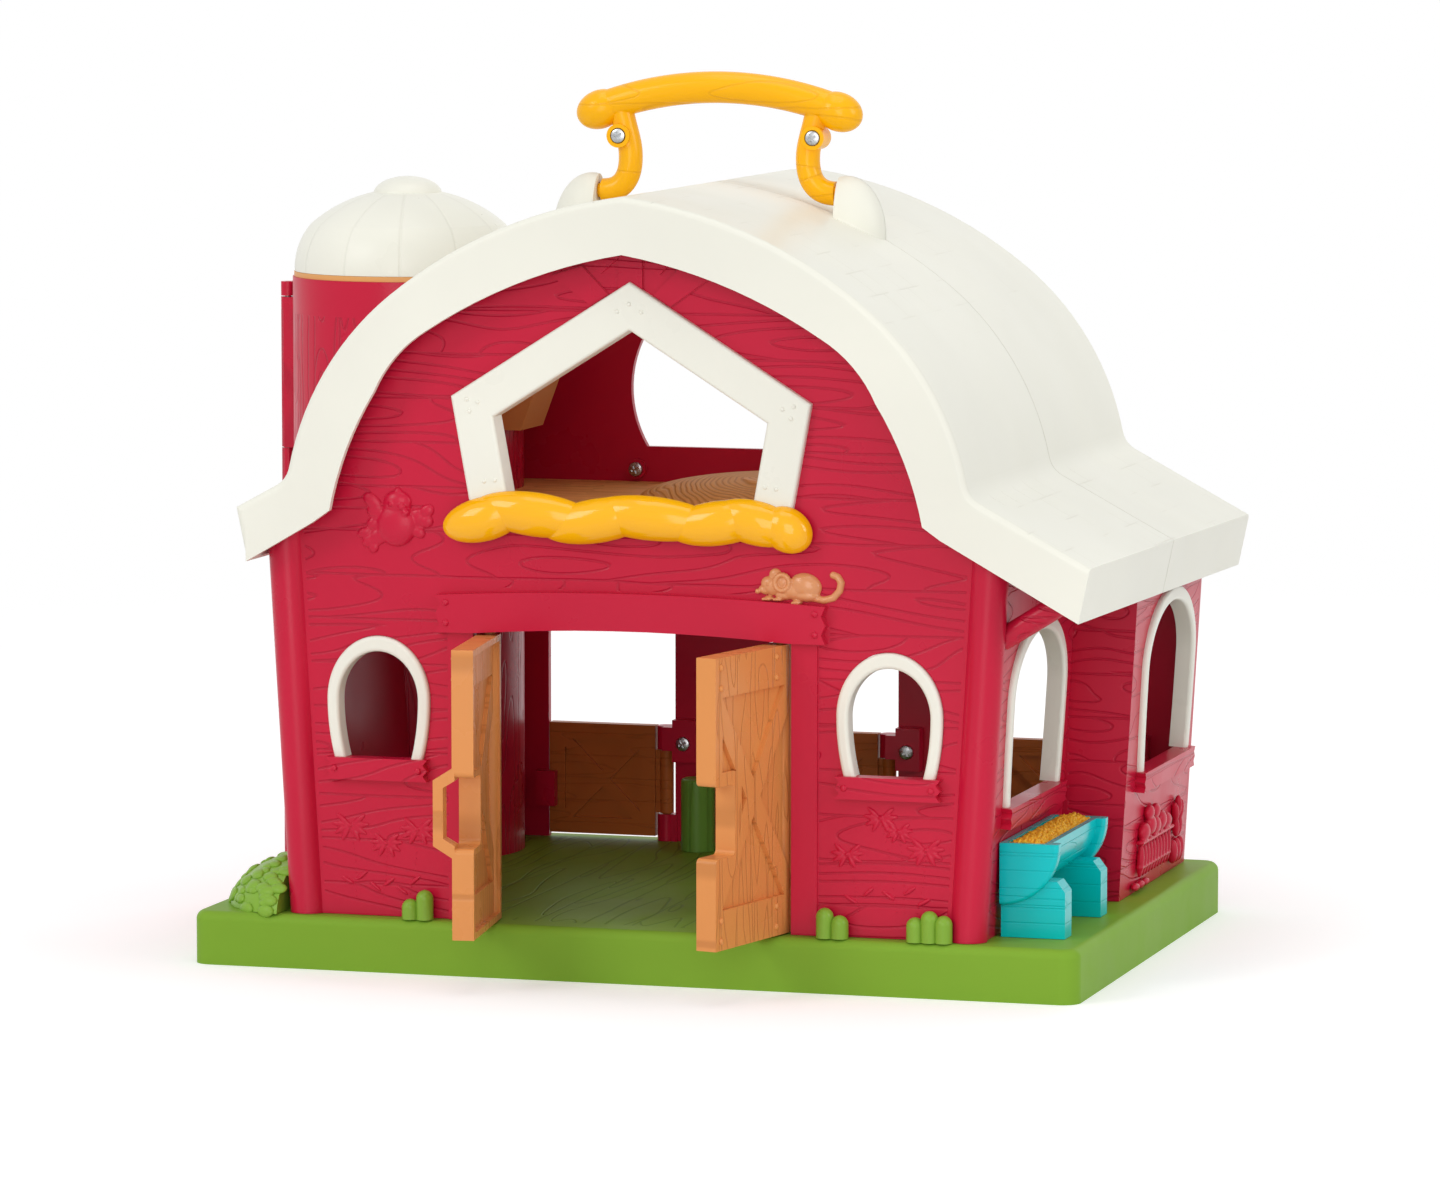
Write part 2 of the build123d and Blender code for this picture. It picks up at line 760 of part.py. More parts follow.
def base_plate():
    """Flat cover under the base, with counterbored screw holes."""
    region = offset(deck_outline(), amount=-plate_margin)
    plate = extrude(region, amount=plate_thickness)
    for x, y in base_screw_places():
        plate -= rod((x, y, -1), (0, 0, 1), screw_shank_radius + seat_gap, plate_thickness + 2)
        plate -= rod((x, y, -1), (0, 0, 1), screw_head_radius + seat_gap, 1 + screw_head_height)
    plate -= silo_clearance()
    return plate.solids().sort_by(SortBy.VOLUME)[-1]


def screw(place, direction, length):
    """Pan-head screw whose head seat is at the place and whose shank runs along the direction."""
    head_start = tuple(p - d * screw_head_height for p, d in zip(place, direction))
    head = rod(head_start, direction, screw_head_radius, screw_head_height)
    return head + rod(place, direction, screw_shank_radius, length)


def screw_group(places, direction, length):
    """Identical screws kept as one group of solids."""
    return Compound(children=[screw(place, direction, length) for place in places])


# ------------------------------------------------------------------ frames and ornaments

def loft_window_frame():
    """White house-shaped frame with a return that lines the wall's opening."""
    face = loft_pentagon(0, loft_foot_z + 1) - loft_pentagon(loft_frame_width, loft_foot_z - 1)
    frame = slab(face, front_wall_y - loft_frame_proud, front_wall_y)
    front_face = frame.faces().sort_by(Axis.Y)[0]
    frame = fillet(front_face.outer_wire().edges(), 1.2)
    lining = loft_pentagon(loft_frame_width - wall + seat_gap, loft_foot_z + 1)
    lining -= loft_pentagon(loft_frame_width, loft_foot_z - 1)
    return frame + slab(lining, front_wall_y - 1, front_wall_y + wall + 4)


def loft_rope_trim():
    """Twisted straw rope across the foot of the loft window."""
    lobes = (
        (-56, 169.5, 16, -14), (-36, 171.8, 24, 6), (-12, 170.2, 22, -10),
        (8, 171.6, 26, 4), (34, 170.5, 20, -8), (48, 171.0, 17, 12), (60, 168.8, 10, 28),
    )
    depth = 6.5
    rope = Part()
    for x, z, half_length, tilt in lobes:
        rope += Pos(x, front_wall_y - loft_frame_proud, z) * Rot(0, tilt, 0) * scale(
            Sphere(1), by=(half_length, depth, 8.2)
        )
    front = box_between((-far, -far, -far), (far, front_wall_y - loft_frame_proud - seat_gap, far))
    return rope & front


def mouse_ornament():
    """Small curled mouse sitting on the lintel's right end."""
    y = front_wall_y
    body = ellipsoid((65.0, y, 148.6), (9.0, 4.5, 5.8))
    head = ellipsoid((54.5, y, 148.0), (6.5, 4.5, 4.9))
    nose = ellipsoid((48.5, y, 146.2), (2.4, 2.4, 1.8))
    ears = ellipsoid((53.0, y - 1.5, 152.4), (2.6, 2.2, 2.6)) + ellipsoid((58.5, y - 2, 150.8), (3.4, 2.6, 3.4))
    feet = ellipsoid((66.0, y - 1, 144.0), (3.2, 2.4, 1.6)) + ellipsoid((54.0, y - 1, 144.2), (3.2, 2.4, 1.6))
    path = Plane.XZ.offset(-y) * ThreePointArc((70, 146), (80.5, 148.5), (76, 154.0))
    tail = sweep(Plane(origin=path @ 0, z_dir=path % 0) * Circle(1.4), path=path)
    mouse = body + head + nose + ears + feet
    return (mouse + tail) & box_between((-far, -far, -far), (far, y - seat_gap, far))


# ------------------------------------------------------------------ doors

def door_closed(side):
    """Door leaf in its closed place: a skin with a deep rim, open to the inside."""
    meeting_x = door_meeting_gap / 2
    axis_x = door_axis_x
    height = door_top_z - door_bottom_z
    middle_z = (door_top_z + door_bottom_z) / 2
    outline = Pos((meeting_x + axis_x) / 2, middle_z) * Rectangle(axis_x - meeting_x, height)
    notch = Pos(meeting_x, door_notch_z) * Rectangle(2 * door_notch_depth, door_notch_height)
    outline -= notch
    notch_corners = [v for v in outline.vertices() if abs(abs(v.Y - door_notch_z) - door_notch_height / 2) < 0.01]
    outline = fillet(notch_corners, 2.0)
    inside = offset(outline, amount=-door_rim, kind=Kind.INTERSECTION)
    back_y = front_wall_y + door_thickness
    leaf = slab(outline, front_wall_y + door_board_relief, back_y)
    leaf -= slab(inside, front_wall_y + door_board_relief + door_skin, back_y + 1)
    boards = door_boards(outline)
    inner_face_y = front_wall_y + door_board_relief + door_skin
    leaf += slab(boards, front_wall_y, front_wall_y + door_board_relief + 0.2)
    leaf += slab(boards, inner_face_y - 0.2, inner_face_y + inner_board_relief)
    leaf += rod((axis_x, door_axis_y, door_bottom_z), (0, 0, 1), door_thickness / 2, height)
    leaf += rod((axis_x, door_axis_y, door_bottom_z - door_pin_length), (0, 0, 1), door_pin_radius, height + 2 * door_pin_length)
    if side < 0:
        leaf += door_pull()
        leaf = mirrored(leaf)
    return leaf


def door_boards(outline):
    """Rails, one large cross of braces and a stile round the free edge and its notch."""
    height = door_top_z - door_bottom_z
    middle_z = (door_top_z + door_bottom_z) / 2
    half_x = door_axis_x / 2
    boards = Sketch()
    for end in (-1, 1):
        rail_z = middle_z + end * (height - door_rail_height) / 2
        boards += Pos(half_x, rail_z) * Rectangle(door_axis_x, door_rail_height)
    gap = height - 2 * door_rail_height
    brace_angle = degrees(atan2(gap, door_axis_x))
    for way in (-1, 1):
        brace = Rectangle(hypot(gap, door_axis_x), door_brace_width)
        boards += Pos(half_x, middle_z) * Rot(0, 0, way * brace_angle) * brace
    stile = outline - offset(outline, amount=-door_stile_width, kind=Kind.INTERSECTION)
    boards += stile & (Pos(half_x - door_stile_width, middle_z) * Rectangle(door_axis_x, height))
    return boards & outline


def door_pull():
    """Pull loop that stands out of the left door's face across its notch."""
    half = door_notch_height / 2
    reach = door_pull_reach
    bar = door_pull_bar
    lift = trim_relief
    outer = polygon(
        (0, door_notch_z - half - 4), (reach, door_notch_z - half + 1), (reach, door_notch_z + half - 1),
        (0, door_notch_z + half + 4),
    )
    inner = polygon(
        (-1, door_notch_z - half + 0.5), (reach - bar, door_notch_z - half + bar), (reach - bar, door_notch_z + half - bar),
        (-1, door_notch_z + half - 0.5),
    )
    profile = outer - inner
    start_x = door_meeting_gap / 2
    place = Plane(origin=(start_x, front_wall_y + lift, 0), x_dir=(0, -1, 0), z_dir=(-1, 0, 0))
    return extrude(place * profile, amount=-door_pull_width)


def door_at_rest(side):
    """Door swung out to the angle at which it rests."""
    axis = Axis((side * door_axis_x, door_axis_y, 0), (0, 0, 1))
    return door_closed(side).rotate(axis, side * rest_door_angles[side])


# ------------------------------------------------------------------ carrying handle

def handle_solid():
    """Log-shaped grip on two curved legs with outward pins."""
    to_wall = Plane.XZ
    grip_path = ThreePointArc((-handle_half_span, handle_end_z), (0, handle_top_z), (handle_half_span, handle_end_z))
    path = to_wall * grip_path
    grip = sweep(Plane(origin=path @ 0, z_dir=path % 0) * Circle(grip_radius), path=path)
    for side in (-1, 1):
        thick_end = ellipsoid((0, 0, 0), grip_end_radii)
        slope = degrees(atan2(2 * (handle_top_z - handle_end_z), handle_half_span))
        grip += Pos(side * (handle_half_span - grip_end_inset), 0, handle_end_z + 0.4) * Rot(0, side * slope, 0) * thick_end
    for side in (-1, 1):
        leg_path = Spline(
            (leg_top_x, handle_end_z + 2), (leg_waist_x, leg_waist_z), (leg_foot_x, handle_pivot_z),
            tangents=((-0.2, -1), (1, 0)),
        )
        leg_path = to_wall * leg_path
        leg = sweep(Plane(origin=leg_path @ 0, z_dir=leg_path % 0) * Circle(leg_radius), path=leg_path)
        leg += rod(
            (leg_foot_x - 0.5, 0, handle_pivot_z), (1, 0, 0),
            handle_pin_radius, handle_pin_length + boss_inner_x - leg_foot_x,
        )
        leg += rod(
            (handle_screw_x, -leg_radius - screw_pad_height, handle_screw_z), (0, 1, 0),
            screw_head_radius + 1.6, 2 * leg_radius + screw_pad_height,
        )
        grip += leg if side > 0 else mirrored(leg)
    return grip


def handle_halves():
    """Front and rear halves of the handle, held together by screws."""
    whole = handle_solid()
    for side in (-1, 1):
        place = handle_screw_place(side)
        head_room = (place[0], place[1] - screw_head_height - 1, place[2])
        whole -= rod(place, (0, 1, 0), screw_shank_radius + seat_gap, screw_length + seat_gap)
        whole -= rod(head_room, (0, 1, 0), screw_head_radius + seat_gap, screw_head_height + 1)
    front = whole & box_between((-far, -far, -far), (far, -seat_gap / 3, far))
    rear = whole & box_between((-far, seat_gap / 3, -far), (far, far, far))
    return {"handle_front": front, "handle_rear": rear}


def handle_screw_place(side):
    """Seat of a handle screw's head, sunk a little into its pad."""
    return (side * handle_screw_x, -leg_radius - screw_pad_height + handle_screw_recess, handle_screw_z)


def handle_screws():
    """Two screws through the handle's front half."""
    return screw_group([handle_screw_place(side) for side in (-1, 1)], (0, 1, 0), screw_length)


# ------------------------------------------------------------------ silo

def silo_sector(start, end):
    """Plan wedge of the silo between two directions."""
    reach = 2 * silo_radius
    steps = 6
    points = [(0, 0)] + [
        (reach * cos(radians(start + (end - start) * i / steps)), reach * sin(radians(start + (end - start) * i / steps)))
        for i in range(steps + 1)
    ]
    return Pos(silo_x, silo_y) * polygon(*points)


def silo_tube(bottom_z, top_z):
    """Silo wall between two heights."""
    ring = Circle(silo_radius) - Circle(silo_radius - silo_wall)
    return extrude(Pos(silo_x, silo_y, bottom_z) * ring, amount=top_z - bottom_z)


def silo_knuckles(for_door):
    """Hinge knuckles on the silo's far edge; fixed ones and the door's take turns."""
    breaks = (silo_floor_thickness, *silo_knuckle_breaks, silo_top_z - silo_floor_thickness)
    group = Part()
    for index, (low, high) in enumerate(zip(breaks, breaks[1:])):
        if (index % 2 == 1) != for_door:
            continue
        low_z = low + swing_gap / 2
        length = high - low - swing_gap
        centre = (silo_barrel_x, silo_y, low_z)
        barrel = rod(centre, (0, 0, 1), silo_barrel_radius, length)
        side = 1 if for_door else -1
        web_y = sorted((silo_y, silo_y + side * silo_web_reach))
        barrel += box_between(
            (silo_barrel_x, web_y[0], low_z), (silo_x - silo_radius + silo_wall, web_y[1], low_z + length)
        )
        group += barrel
    return group


def silo_bore():
    """Through hole for the silo's hinge pin."""
    return rod((silo_barrel_x, silo_y, -1), (0, 0, 1), silo_pin_radius + 0.1, silo_top_z + 2)


def silo_shell():
    """Fixed part of the silo: floor, front wall and hinge knuckles."""
    door_room = extrude(
        silo_sector(silo_door_start - 0.5, silo_door_end + 8), amount=silo_top_z - 2 * silo_floor_thickness
    )
    shell = silo_tube(0, silo_top_z)
    shell -= Pos(0, 0, silo_floor_thickness) * door_room
    shell += Pos(silo_x, silo_y, 0) * Cylinder(
        silo_radius - silo_wall / 2, silo_floor_thickness, align=(Align.CENTER, Align.CENTER, Align.MIN)
    )
    shell += silo_knuckles(False)
    shell -= inner_column(silo_floor_thickness, silo_top_z + 1)
    return shell - silo_bore()


def inner_column(bottom_z, top_z):
    """Space inside the silo wall."""
    return Pos(silo_x, silo_y, bottom_z) * Cylinder(
        silo_radius - silo_wall, top_z - bottom_z, align=(Align.CENTER, Align.CENTER, Align.MIN)
    )


def silo_door():
    """Tall curved door in the back of the silo."""
    bottom_z = silo_floor_thickness + swing_gap
    top_z = silo_top_z - silo_floor_thickness - swing_gap
    sector = Pos(0, 0, bottom_z) * extrude(silo_sector(silo_door_start, silo_door_end), amount=top_z - bottom_z)
    leaf = silo_tube(bottom_z, top_z) & sector
    leaf += silo_knuckles(True)
    leaf -= inner_column(0, silo_top_z)
    return leaf - silo_bore()


def silo_hinge_pin():
    """Steel pin through all the silo's knuckles."""
    length = silo_top_z - 2 * silo_floor_thickness - 2 * swing_gap
    return rod((silo_barrel_x, silo_y, silo_floor_thickness + swing_gap), (0, 0, 1), silo_pin_radius, length)


def silo_collar():
    """Tan ring between the silo and its dome."""
    ring = Circle(silo_radius - 0.6) - Circle(silo_radius - 3 * silo_wall)
    return extrude(Pos(silo_x, silo_y, silo_top_z + seat_gap / 3) * ring, amount=silo_collar_height)


def silo_dome():
    """Domed silo cap with a round knob."""
    base_z = silo_top_z + silo_collar_height + seat_gap
    section = dome_section(0) - dome_section(dome_thickness)
    cap = Pos(silo_x, silo_y, base_z) * revolve(Plane.XZ * section, axis=Axis.Z)
    knob = ellipsoid((silo_x, silo_y, base_z + dome_crown_rise - 2), (knob_radius, knob_radius, knob_rise - dome_crown_rise + 2))
    return cap + (knob & box_between((-far, -far, base_z + dome_crown_rise - 2), (far, far, far)))


def dome_section(inset):
    """Half section of the dome, shrunk by an inset."""
    rim = (dome_cap_radius - inset, 0)
    shoulder = (dome_shoulder_radius - inset * 0.8, dome_shoulder_rise - inset * 0.6)
    crown_z = dome_crown_rise - inset
    side = ThreePointArc(rim, (rim[0] - 1.3, dome_shoulder_rise * 0.5), shoulder)
    top = bowed(shoulder, (dome_flat, crown_z), -3.6)
    return make_face([side, top, *Polyline((dome_flat, crown_z), (0, crown_z), (0, 0), rim).edges()])


def silo_chute():
    """Tan feed chute that opens from the silo into the loft."""
    left_x = silo_x + silo_radius + seat_gap
    back_x = left_x - chute_reach / 2
    body = polygon(
        (back_x, chute_foot_z), (left_x + chute_lip, chute_foot_z), (left_x + chute_reach, chute_foot_z + chute_slope_height),
        (left_x + chute_reach, chute_top_z), (back_x, chute_top_z),
    )
    half = chute_width / 2
    block = slab(body, silo_y - half, silo_y + half)
    block -= slab(offset(body, amount=-chute_wall), silo_y - half + chute_wall, silo_y + half + 1)
    return block - silo_clearance_column()


def silo_clearance_column():
    """The silo's round column with its seat clearance."""
    return Pos(silo_x, silo_y) * Cylinder(silo_radius + seat_gap, 2 * far)


# ------------------------------------------------------------------ loft, gates, trough

def loft_floor():
    """Floor of the loft, fitted between the walls and round the silo."""
    half = lean_x(loft_floor_z - loft_floor_thickness) - wall - seat_gap
    near_y = front_wall_y + wall + seat_gap
    far_y = rear_wall_y - wall - seat_gap
    floor = box_between((-half, near_y, loft_floor_z - loft_floor_thickness), (half, far_y, loft_floor_z))
    floor -= silo_clearance()
    return floor.solids().sort_by(SortBy.VOLUME)[-1]


def hay_pile():
    """Heap of hay on the loft floor, flattened where figures rest on it."""
    heap = ellipsoid((16, 44, loft_floor_z), (60, 48, hay_height * 1.1))
    heap += ellipsoid((26, 34, loft_floor_z), (38, 32, hay_height * 1.4))
    low = loft_floor_z + 0.05
    return heap & box_between((-far, -far, low), (far, far, loft_floor_z + hay_height))


def gate(left_edge, right_edge):
    """Plank gate with crossed braces and a hinge rod at its right end."""
    axis_x = right_edge - gate_axis_inset
    hinge_side = axis_x - knuckle_radius - swing_gap
    free_side = left_edge + swing_gap + 0.2
    width = hinge_side - free_side
    height = gate_top_z - gate_bottom_z
    centre = Pos((hinge_side + free_side) / 2, (gate_top_z + gate_bottom_z) / 2)
    panel = centre * Rectangle(width, height)
    inner = centre * Rectangle(width - 2 * gate_board, height - 2 * gate_board)
    braces = Sketch()
    angle = degrees(atan2(height, width))
    for way in (-1, 1):
        braces += centre * Rot(0, 0, way * angle) * Rectangle(hypot(width, height), gate_board * 0.7)
    boards = (panel - inner) + (braces & panel)
    leaf = slab(panel, gate_axis_y - gate_core / 2, gate_axis_y + gate_core / 2)
    leaf += slab(boards, gate_axis_y - gate_core / 2 - gate_rail, gate_axis_y - gate_core / 2 + 0.1)
    leaf += slab(boards, gate_axis_y + gate_core / 2 - 0.1, gate_axis_y + gate_core / 2 + gate_rail)
    low_z = wall_foot_z + lower_knuckle_height + swing_gap
    high_z = gate_top_z - upper_knuckle_height - swing_gap
    leaf += box_between((hinge_side - 1, gate_axis_y - gate_core / 2, low_z), (axis_x, gate_axis_y + gate_core / 2, high_z))
    leaf += rod((axis_x, gate_axis_y, low_z), (0, 0, 1), gate_rod_radius, high_z - low_z)
    leaf += rod((axis_x, gate_axis_y, low_z - gate_pin_length), (0, 0, 1), gate_pin_radius, high_z - low_z + 2 * gate_pin_length)
    return leaf


def gate_bracket(right_edge):
    """Red clamp screwed to a post, which holds a gate's upper pin."""
    axis_x = right_edge - gate_axis_inset
    low_z = gate_top_z - upper_knuckle_height
    back_y = rear_wall_y - wall - seat_gap
    front_y = back_y - bracket_thickness
    bracket = rod((axis_x, gate_axis_y, low_z), (0, 0, 1), knuckle_radius, upper_knuckle_height)
    bracket += box_between((axis_x, front_y, low_z), (right_edge + 2, back_y, gate_top_z))
    bracket += box_between((axis_x, back_y - 1, low_z), (right_edge - seat_gap, rear_wall_y, gate_top_z))
    bracket += box_between((right_edge + seat_gap, front_y, low_z - 4.5), (right_edge + 10, back_y, gate_top_z + 3))
    bracket -= rod((axis_x, gate_axis_y, low_z - 1), (0, 0, 1), gate_pin_radius + pin_gap, gate_pin_length + 2)
    screw_x = right_edge + bracket_screw_inset
    screw_hole = rod((screw_x, front_y - 1, bracket_screw_z), (0, 1, 0), screw_shank_radius + seat_gap, 12)
    return bracket - screw_hole


def bracket_screw_places():
    """Seats of the screws on the gate brackets."""
    seat_y = rear_wall_y - wall - seat_gap - bracket_thickness
    return [(right + bracket_screw_inset, seat_y, bracket_screw_z) for _, right in bay_edges()]


def loft_screw_places():
    """Seats of the screws on the rear wall's bosses over the loft floor."""
    seat_y = rear_wall_y - wall - screw_boss_height
    return [(side * loft_screw_x, seat_y, loft_screw_z) for side in (-1, 1)]


def trough():
    """Teal feeding trough on two leg boards."""
    far_y = trough_front_y + trough_length
    tub = slab(trough_section(0), trough_front_y, far_y)
    tub -= slab(trough_section(trough_wall) + trough_mouth(), trough_front_y + trough_wall, far_y - trough_wall)
    hollow = slab(trough_section(trough_wall) + trough_mouth(), trough_front_y - 1, far_y + 1)
    for y in (trough_front_leg_y, trough_rear_leg_y):
        tub += slab(trough_leg(), y, y + trough_leg_thickness) - hollow
    for y in (trough_front_y, far_y - trough_band_width):
        tub += trough_band(y)
    return tub


def trough_section(inset):
    """Cross-section of the tub: upright at the wall and a quarter round outside."""
    radius = trough_width - inset
    left = trough_x + inset
    low = trough_spring_z - sqrt(radius ** 2 - inset ** 2)
    right = trough_x + radius
    slant = radius / sqrt(2)
    bowl = ThreePointArc((left, low), (trough_x + slant, trough_spring_z - slant), (right, trough_spring_z))
    top = Polyline((right, trough_spring_z), (right, trough_rim_z), (left, trough_rim_z), (left, low))
    return make_face([bowl, *top.edges()])


def trough_band(y):
    """Thick soft-edged hoop round one end of the tub."""
    room = Pos(trough_x + trough_width, trough_rim_z / 2) * Rectangle(2 * trough_width, trough_rim_z)
    hoop = slab((trough_section(-trough_band_relief) & room) - trough_section(trough_wall), y, y + trough_band_width)
    arcs = hoop.edges().filter_by(GeomType.CIRCLE)
    outer = arcs.filter_by(lambda edge: edge.radius > trough_width + 1)
    return fillet(outer, trough_band_round)


def trough_mouth():
    """Open top of the tub."""
    return Pos(trough_x + trough_width / 2, trough_rim_z) * Rectangle(trough_width - 2 * trough_wall, 4)


def trough_leg():
    """Flared end board that carries the tub."""
    left = trough_x
    foot_z = wall_foot_z
    top_z = wall_foot_z + trough_leg_height
    return polygon(
        (left, foot_z), (left + trough_leg_width, foot_z), (left + trough_leg_width, top_z - 4),
        (left + trough_leg_width - 3, top_z), (left, top_z),
    )


def trough_feed():
    """Heap of feed in the trough."""
    y0 = trough_front_y + trough_wall + seat_gap
    y1 = trough_front_y + trough_length - trough_wall - seat_gap
    section = trough_section(trough_wall + seat_gap) & (
        Pos(trough_x + trough_width / 2, trough_rim_z - 8) * Rectangle(trough_width, 12)
    )
    crown = bowed(
        (trough_x + trough_width - trough_wall - seat_gap, trough_rim_z - 2), (trough_x + trough_wall + seat_gap, trough_rim_z - 2), -2.5
    )
    top = make_face([crown, Line(crown @ 1, crown @ 0)])
    return slab(section + top, y0, y1)


# ------------------------------------------------------------------ all pieces

def side_frame(centre_y, reach):
    """White frame of a window in a side wall."""
    return side_window_place(centre_y, reach) * horseshoe_ring(*side_window_sizes)


def build_pieces():
    """Every piece of the barn by its node name."""
    bays = bay_edges()
    pieces = {
        "base": base_deck(),
        "base_plate": base_plate(),
        "bush_mound": bush_mound(),
        "grass_tufts": grass_tufts(),
        "stump_post": stump_post(),
        "base_screws": screw_group(
            [(x, y, screw_head_height) for x, y in base_screw_places()], (0, 0, 1), screw_length
        ),
        "front_wall": front_wall(),
        "left_wall": left_wall(),
        "right_wall": right_wall(),
        "rear_wall": rear_wall(),
        **roof_halves(),
        "loft_window_frame": loft_window_frame(),
        "loft_rope_trim": loft_rope_trim(),
        "mouse_ornament": mouse_ornament(),
        "window_frame_front_left": front_window_place(-1) * horseshoe_ring(*front_window_sizes),
        "window_frame_front_right": front_window_place(1) * horseshoe_ring(*front_window_sizes),
        "window_frame_right_front": side_frame(front_bay_window_y, 0.0),
        "window_frame_right_rear": side_frame(rear_bay_window_y, side_room_reach),
        "left_door": door_at_rest(-1),
        "right_door": door_at_rest(1),
        **handle_halves(),
        "handle_screws": handle_screws(),
        "silo_shell": silo_shell(),
        "silo_door": silo_door(),
        "silo_hinge_pin": silo_hinge_pin(),
        "silo_collar": silo_collar(),
        "silo_dome": silo_dome(),
        "silo_chute": silo_chute(),
        "loft_floor": loft_floor(),
        "hay_pile": hay_pile(),
        "bracket_screws": screw_group(bracket_screw_places(), (0, 1, 0), bracket_screw_length),
        "loft_screws": screw_group(loft_screw_places(), (0, 1, 0), loft_screw_length),
        "trough": trough(),
        "trough_feed": trough_feed(),
    }
    for place, (left, right) in zip(("left", "middle", "right"), bays):
        pieces[f"gate_{place}"] = gate(left, right)
        pieces[f"gate_bracket_{place}"] = gate_bracket(right)
    return pieces


def main():
    """Write one STEP file for each piece."""
    os.makedirs("parts", exist_ok=True)
    for name, piece in build_pieces().items():
        export_step(piece, f"parts/{name}.step")
        print(name, round(piece.volume, 1), len(piece.solids()))


if __name__ == "__main__":
    main()
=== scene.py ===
"""Looks of a moulded toy barn: plastics, pegs, screws, reliefs, straw, studio and camera."""

import json
import logging
import math
from dataclasses import dataclass
from enum import Enum
from functools import reduce
from typing import Optional, Sequence, Union

import bmesh
import bpy
from mathutils import Euler, Matrix, Vector

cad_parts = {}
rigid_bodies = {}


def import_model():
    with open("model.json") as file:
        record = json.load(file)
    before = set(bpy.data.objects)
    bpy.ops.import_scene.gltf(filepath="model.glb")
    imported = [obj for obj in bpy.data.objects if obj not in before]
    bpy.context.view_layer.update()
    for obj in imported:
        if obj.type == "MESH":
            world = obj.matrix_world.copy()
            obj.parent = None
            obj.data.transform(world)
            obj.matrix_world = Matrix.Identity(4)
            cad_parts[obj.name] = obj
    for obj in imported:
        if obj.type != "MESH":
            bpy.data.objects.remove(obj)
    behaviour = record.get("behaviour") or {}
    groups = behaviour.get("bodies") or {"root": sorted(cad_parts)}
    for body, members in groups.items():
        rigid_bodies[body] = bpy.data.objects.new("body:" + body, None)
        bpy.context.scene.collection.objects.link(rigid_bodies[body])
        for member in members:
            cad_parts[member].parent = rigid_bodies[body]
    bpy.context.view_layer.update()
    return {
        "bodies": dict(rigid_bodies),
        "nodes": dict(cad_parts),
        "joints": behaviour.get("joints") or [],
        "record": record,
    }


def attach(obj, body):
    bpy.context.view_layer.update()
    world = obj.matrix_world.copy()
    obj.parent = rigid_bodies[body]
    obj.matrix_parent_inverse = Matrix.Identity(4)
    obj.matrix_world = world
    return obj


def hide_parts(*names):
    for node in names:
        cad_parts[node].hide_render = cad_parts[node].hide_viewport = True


LOG = logging.getLogger("toy_barn")
MM = 0.001
FULL_TURNS = (6.3, 6.3, 6.3)  # any turn about each axis, in radians
Point = tuple[float, float, float]
Colour = tuple[float, float, float, float]
Feed = Union[bpy.types.NodeSocket, bpy.types.Node, float, tuple, str]


# ---------------------------------------------------------------- small helpers

def linear(shade: str) -> Colour:
    """Turn an sRGB hex colour into linear light.

    Args:
        shade: Colour such as "#C52B44".

    Returns:
        Red, green, blue and alpha.
    """
    values = [int(shade[i:i + 2], 16) / 255 for i in (1, 3, 5)]
    light = [v / 12.92 if v <= 0.04045 else ((v + 0.055) / 1.055) ** 2.4 for v in values]
    return light[0], light[1], light[2], 1.0


def add_node(
    tree: bpy.types.NodeTree, kind: str, *feeds: Optional[Feed],
    sockets: Optional[dict[Union[str, int], Feed]] = None, **settings: object,
) -> bpy.types.Node:
    """Add a node, set its properties and feed its sockets.

    Args:
        tree: Tree that gets the node.
        kind: The node's type name, or a sum in capitals, such as "MULTIPLY", for a Math node.
        feeds: Values or outputs for the first sockets in order; None skips one.
        sockets: Values or outputs for sockets by name or number.
        settings: The node's own properties.

    Returns:
        The new node.
    """
    if kind.isupper():
        kind, settings["operation"] = "ShaderNodeMath", kind
    node = tree.nodes.new(kind)
    for key, value in settings.items():
        setattr(node, key, value)
    for key, value in [*enumerate(feeds), *(sockets or {}).items()]:
        if value is None:
            continue
        target = node.inputs[key]
        if isinstance(value, bpy.types.Node):
            tree.links.new(value.outputs[0], target)
        elif isinstance(value, bpy.types.NodeSocket):
            tree.links.new(value, target)
        else:
            target.default_value = value
    return node


def per_metre(size: float) -> float:
    """Turn the size of a noise's marks in millimetres into its scale."""
    return 1.0 / (size * MM)


def fresh_tree(data: Union[bpy.types.Material, bpy.types.World]) -> bpy.types.NodeTree:
    """Empty the node tree of a material or a world.

    Args:
        data: Material or world.

    Returns:
        Its empty tree.
    """
    data.use_nodes = True
    data.node_tree.nodes.clear()
    return data.node_tree


def link_piece(name: str, mesh: bpy.types.Mesh) -> bpy.types.Object:
    """Put a mesh into the scene as a piece at the origin.

    Args:
        name: The piece's name.
        mesh: Its mesh, in metres.

    Returns:
        The new object.
    """
    piece = bpy.data.objects.new(name, mesh)
    bpy.context.scene.collection.objects.link(piece)
    return piece


def mesh_piece(name: str, verts: Sequence[Point], faces: Sequence[Sequence[int]]) -> bpy.types.Object:
    """Make a piece from points in metres.

    Args:
        name: The piece's name.
        verts: Its points.
        faces: Its faces as point numbers.

    Returns:
        The new object.
    """
    mesh = bpy.data.meshes.new(name)
    mesh.from_pydata([tuple(v) for v in verts], [], [tuple(f) for f in faces])
    mesh.update()
    return link_piece(name, mesh)


def bmesh_piece(name: str, work: bmesh.types.BMesh) -> bpy.types.Object:
    """Make a piece from a finished BMesh and free it.

    Args:
        name: The piece's name.
        work: Mesh in metres.

    Returns:
        The new object.
    """
    mesh = bpy.data.meshes.new(name)
    work.to_mesh(mesh)
    work.free()
    return link_piece(name, mesh)


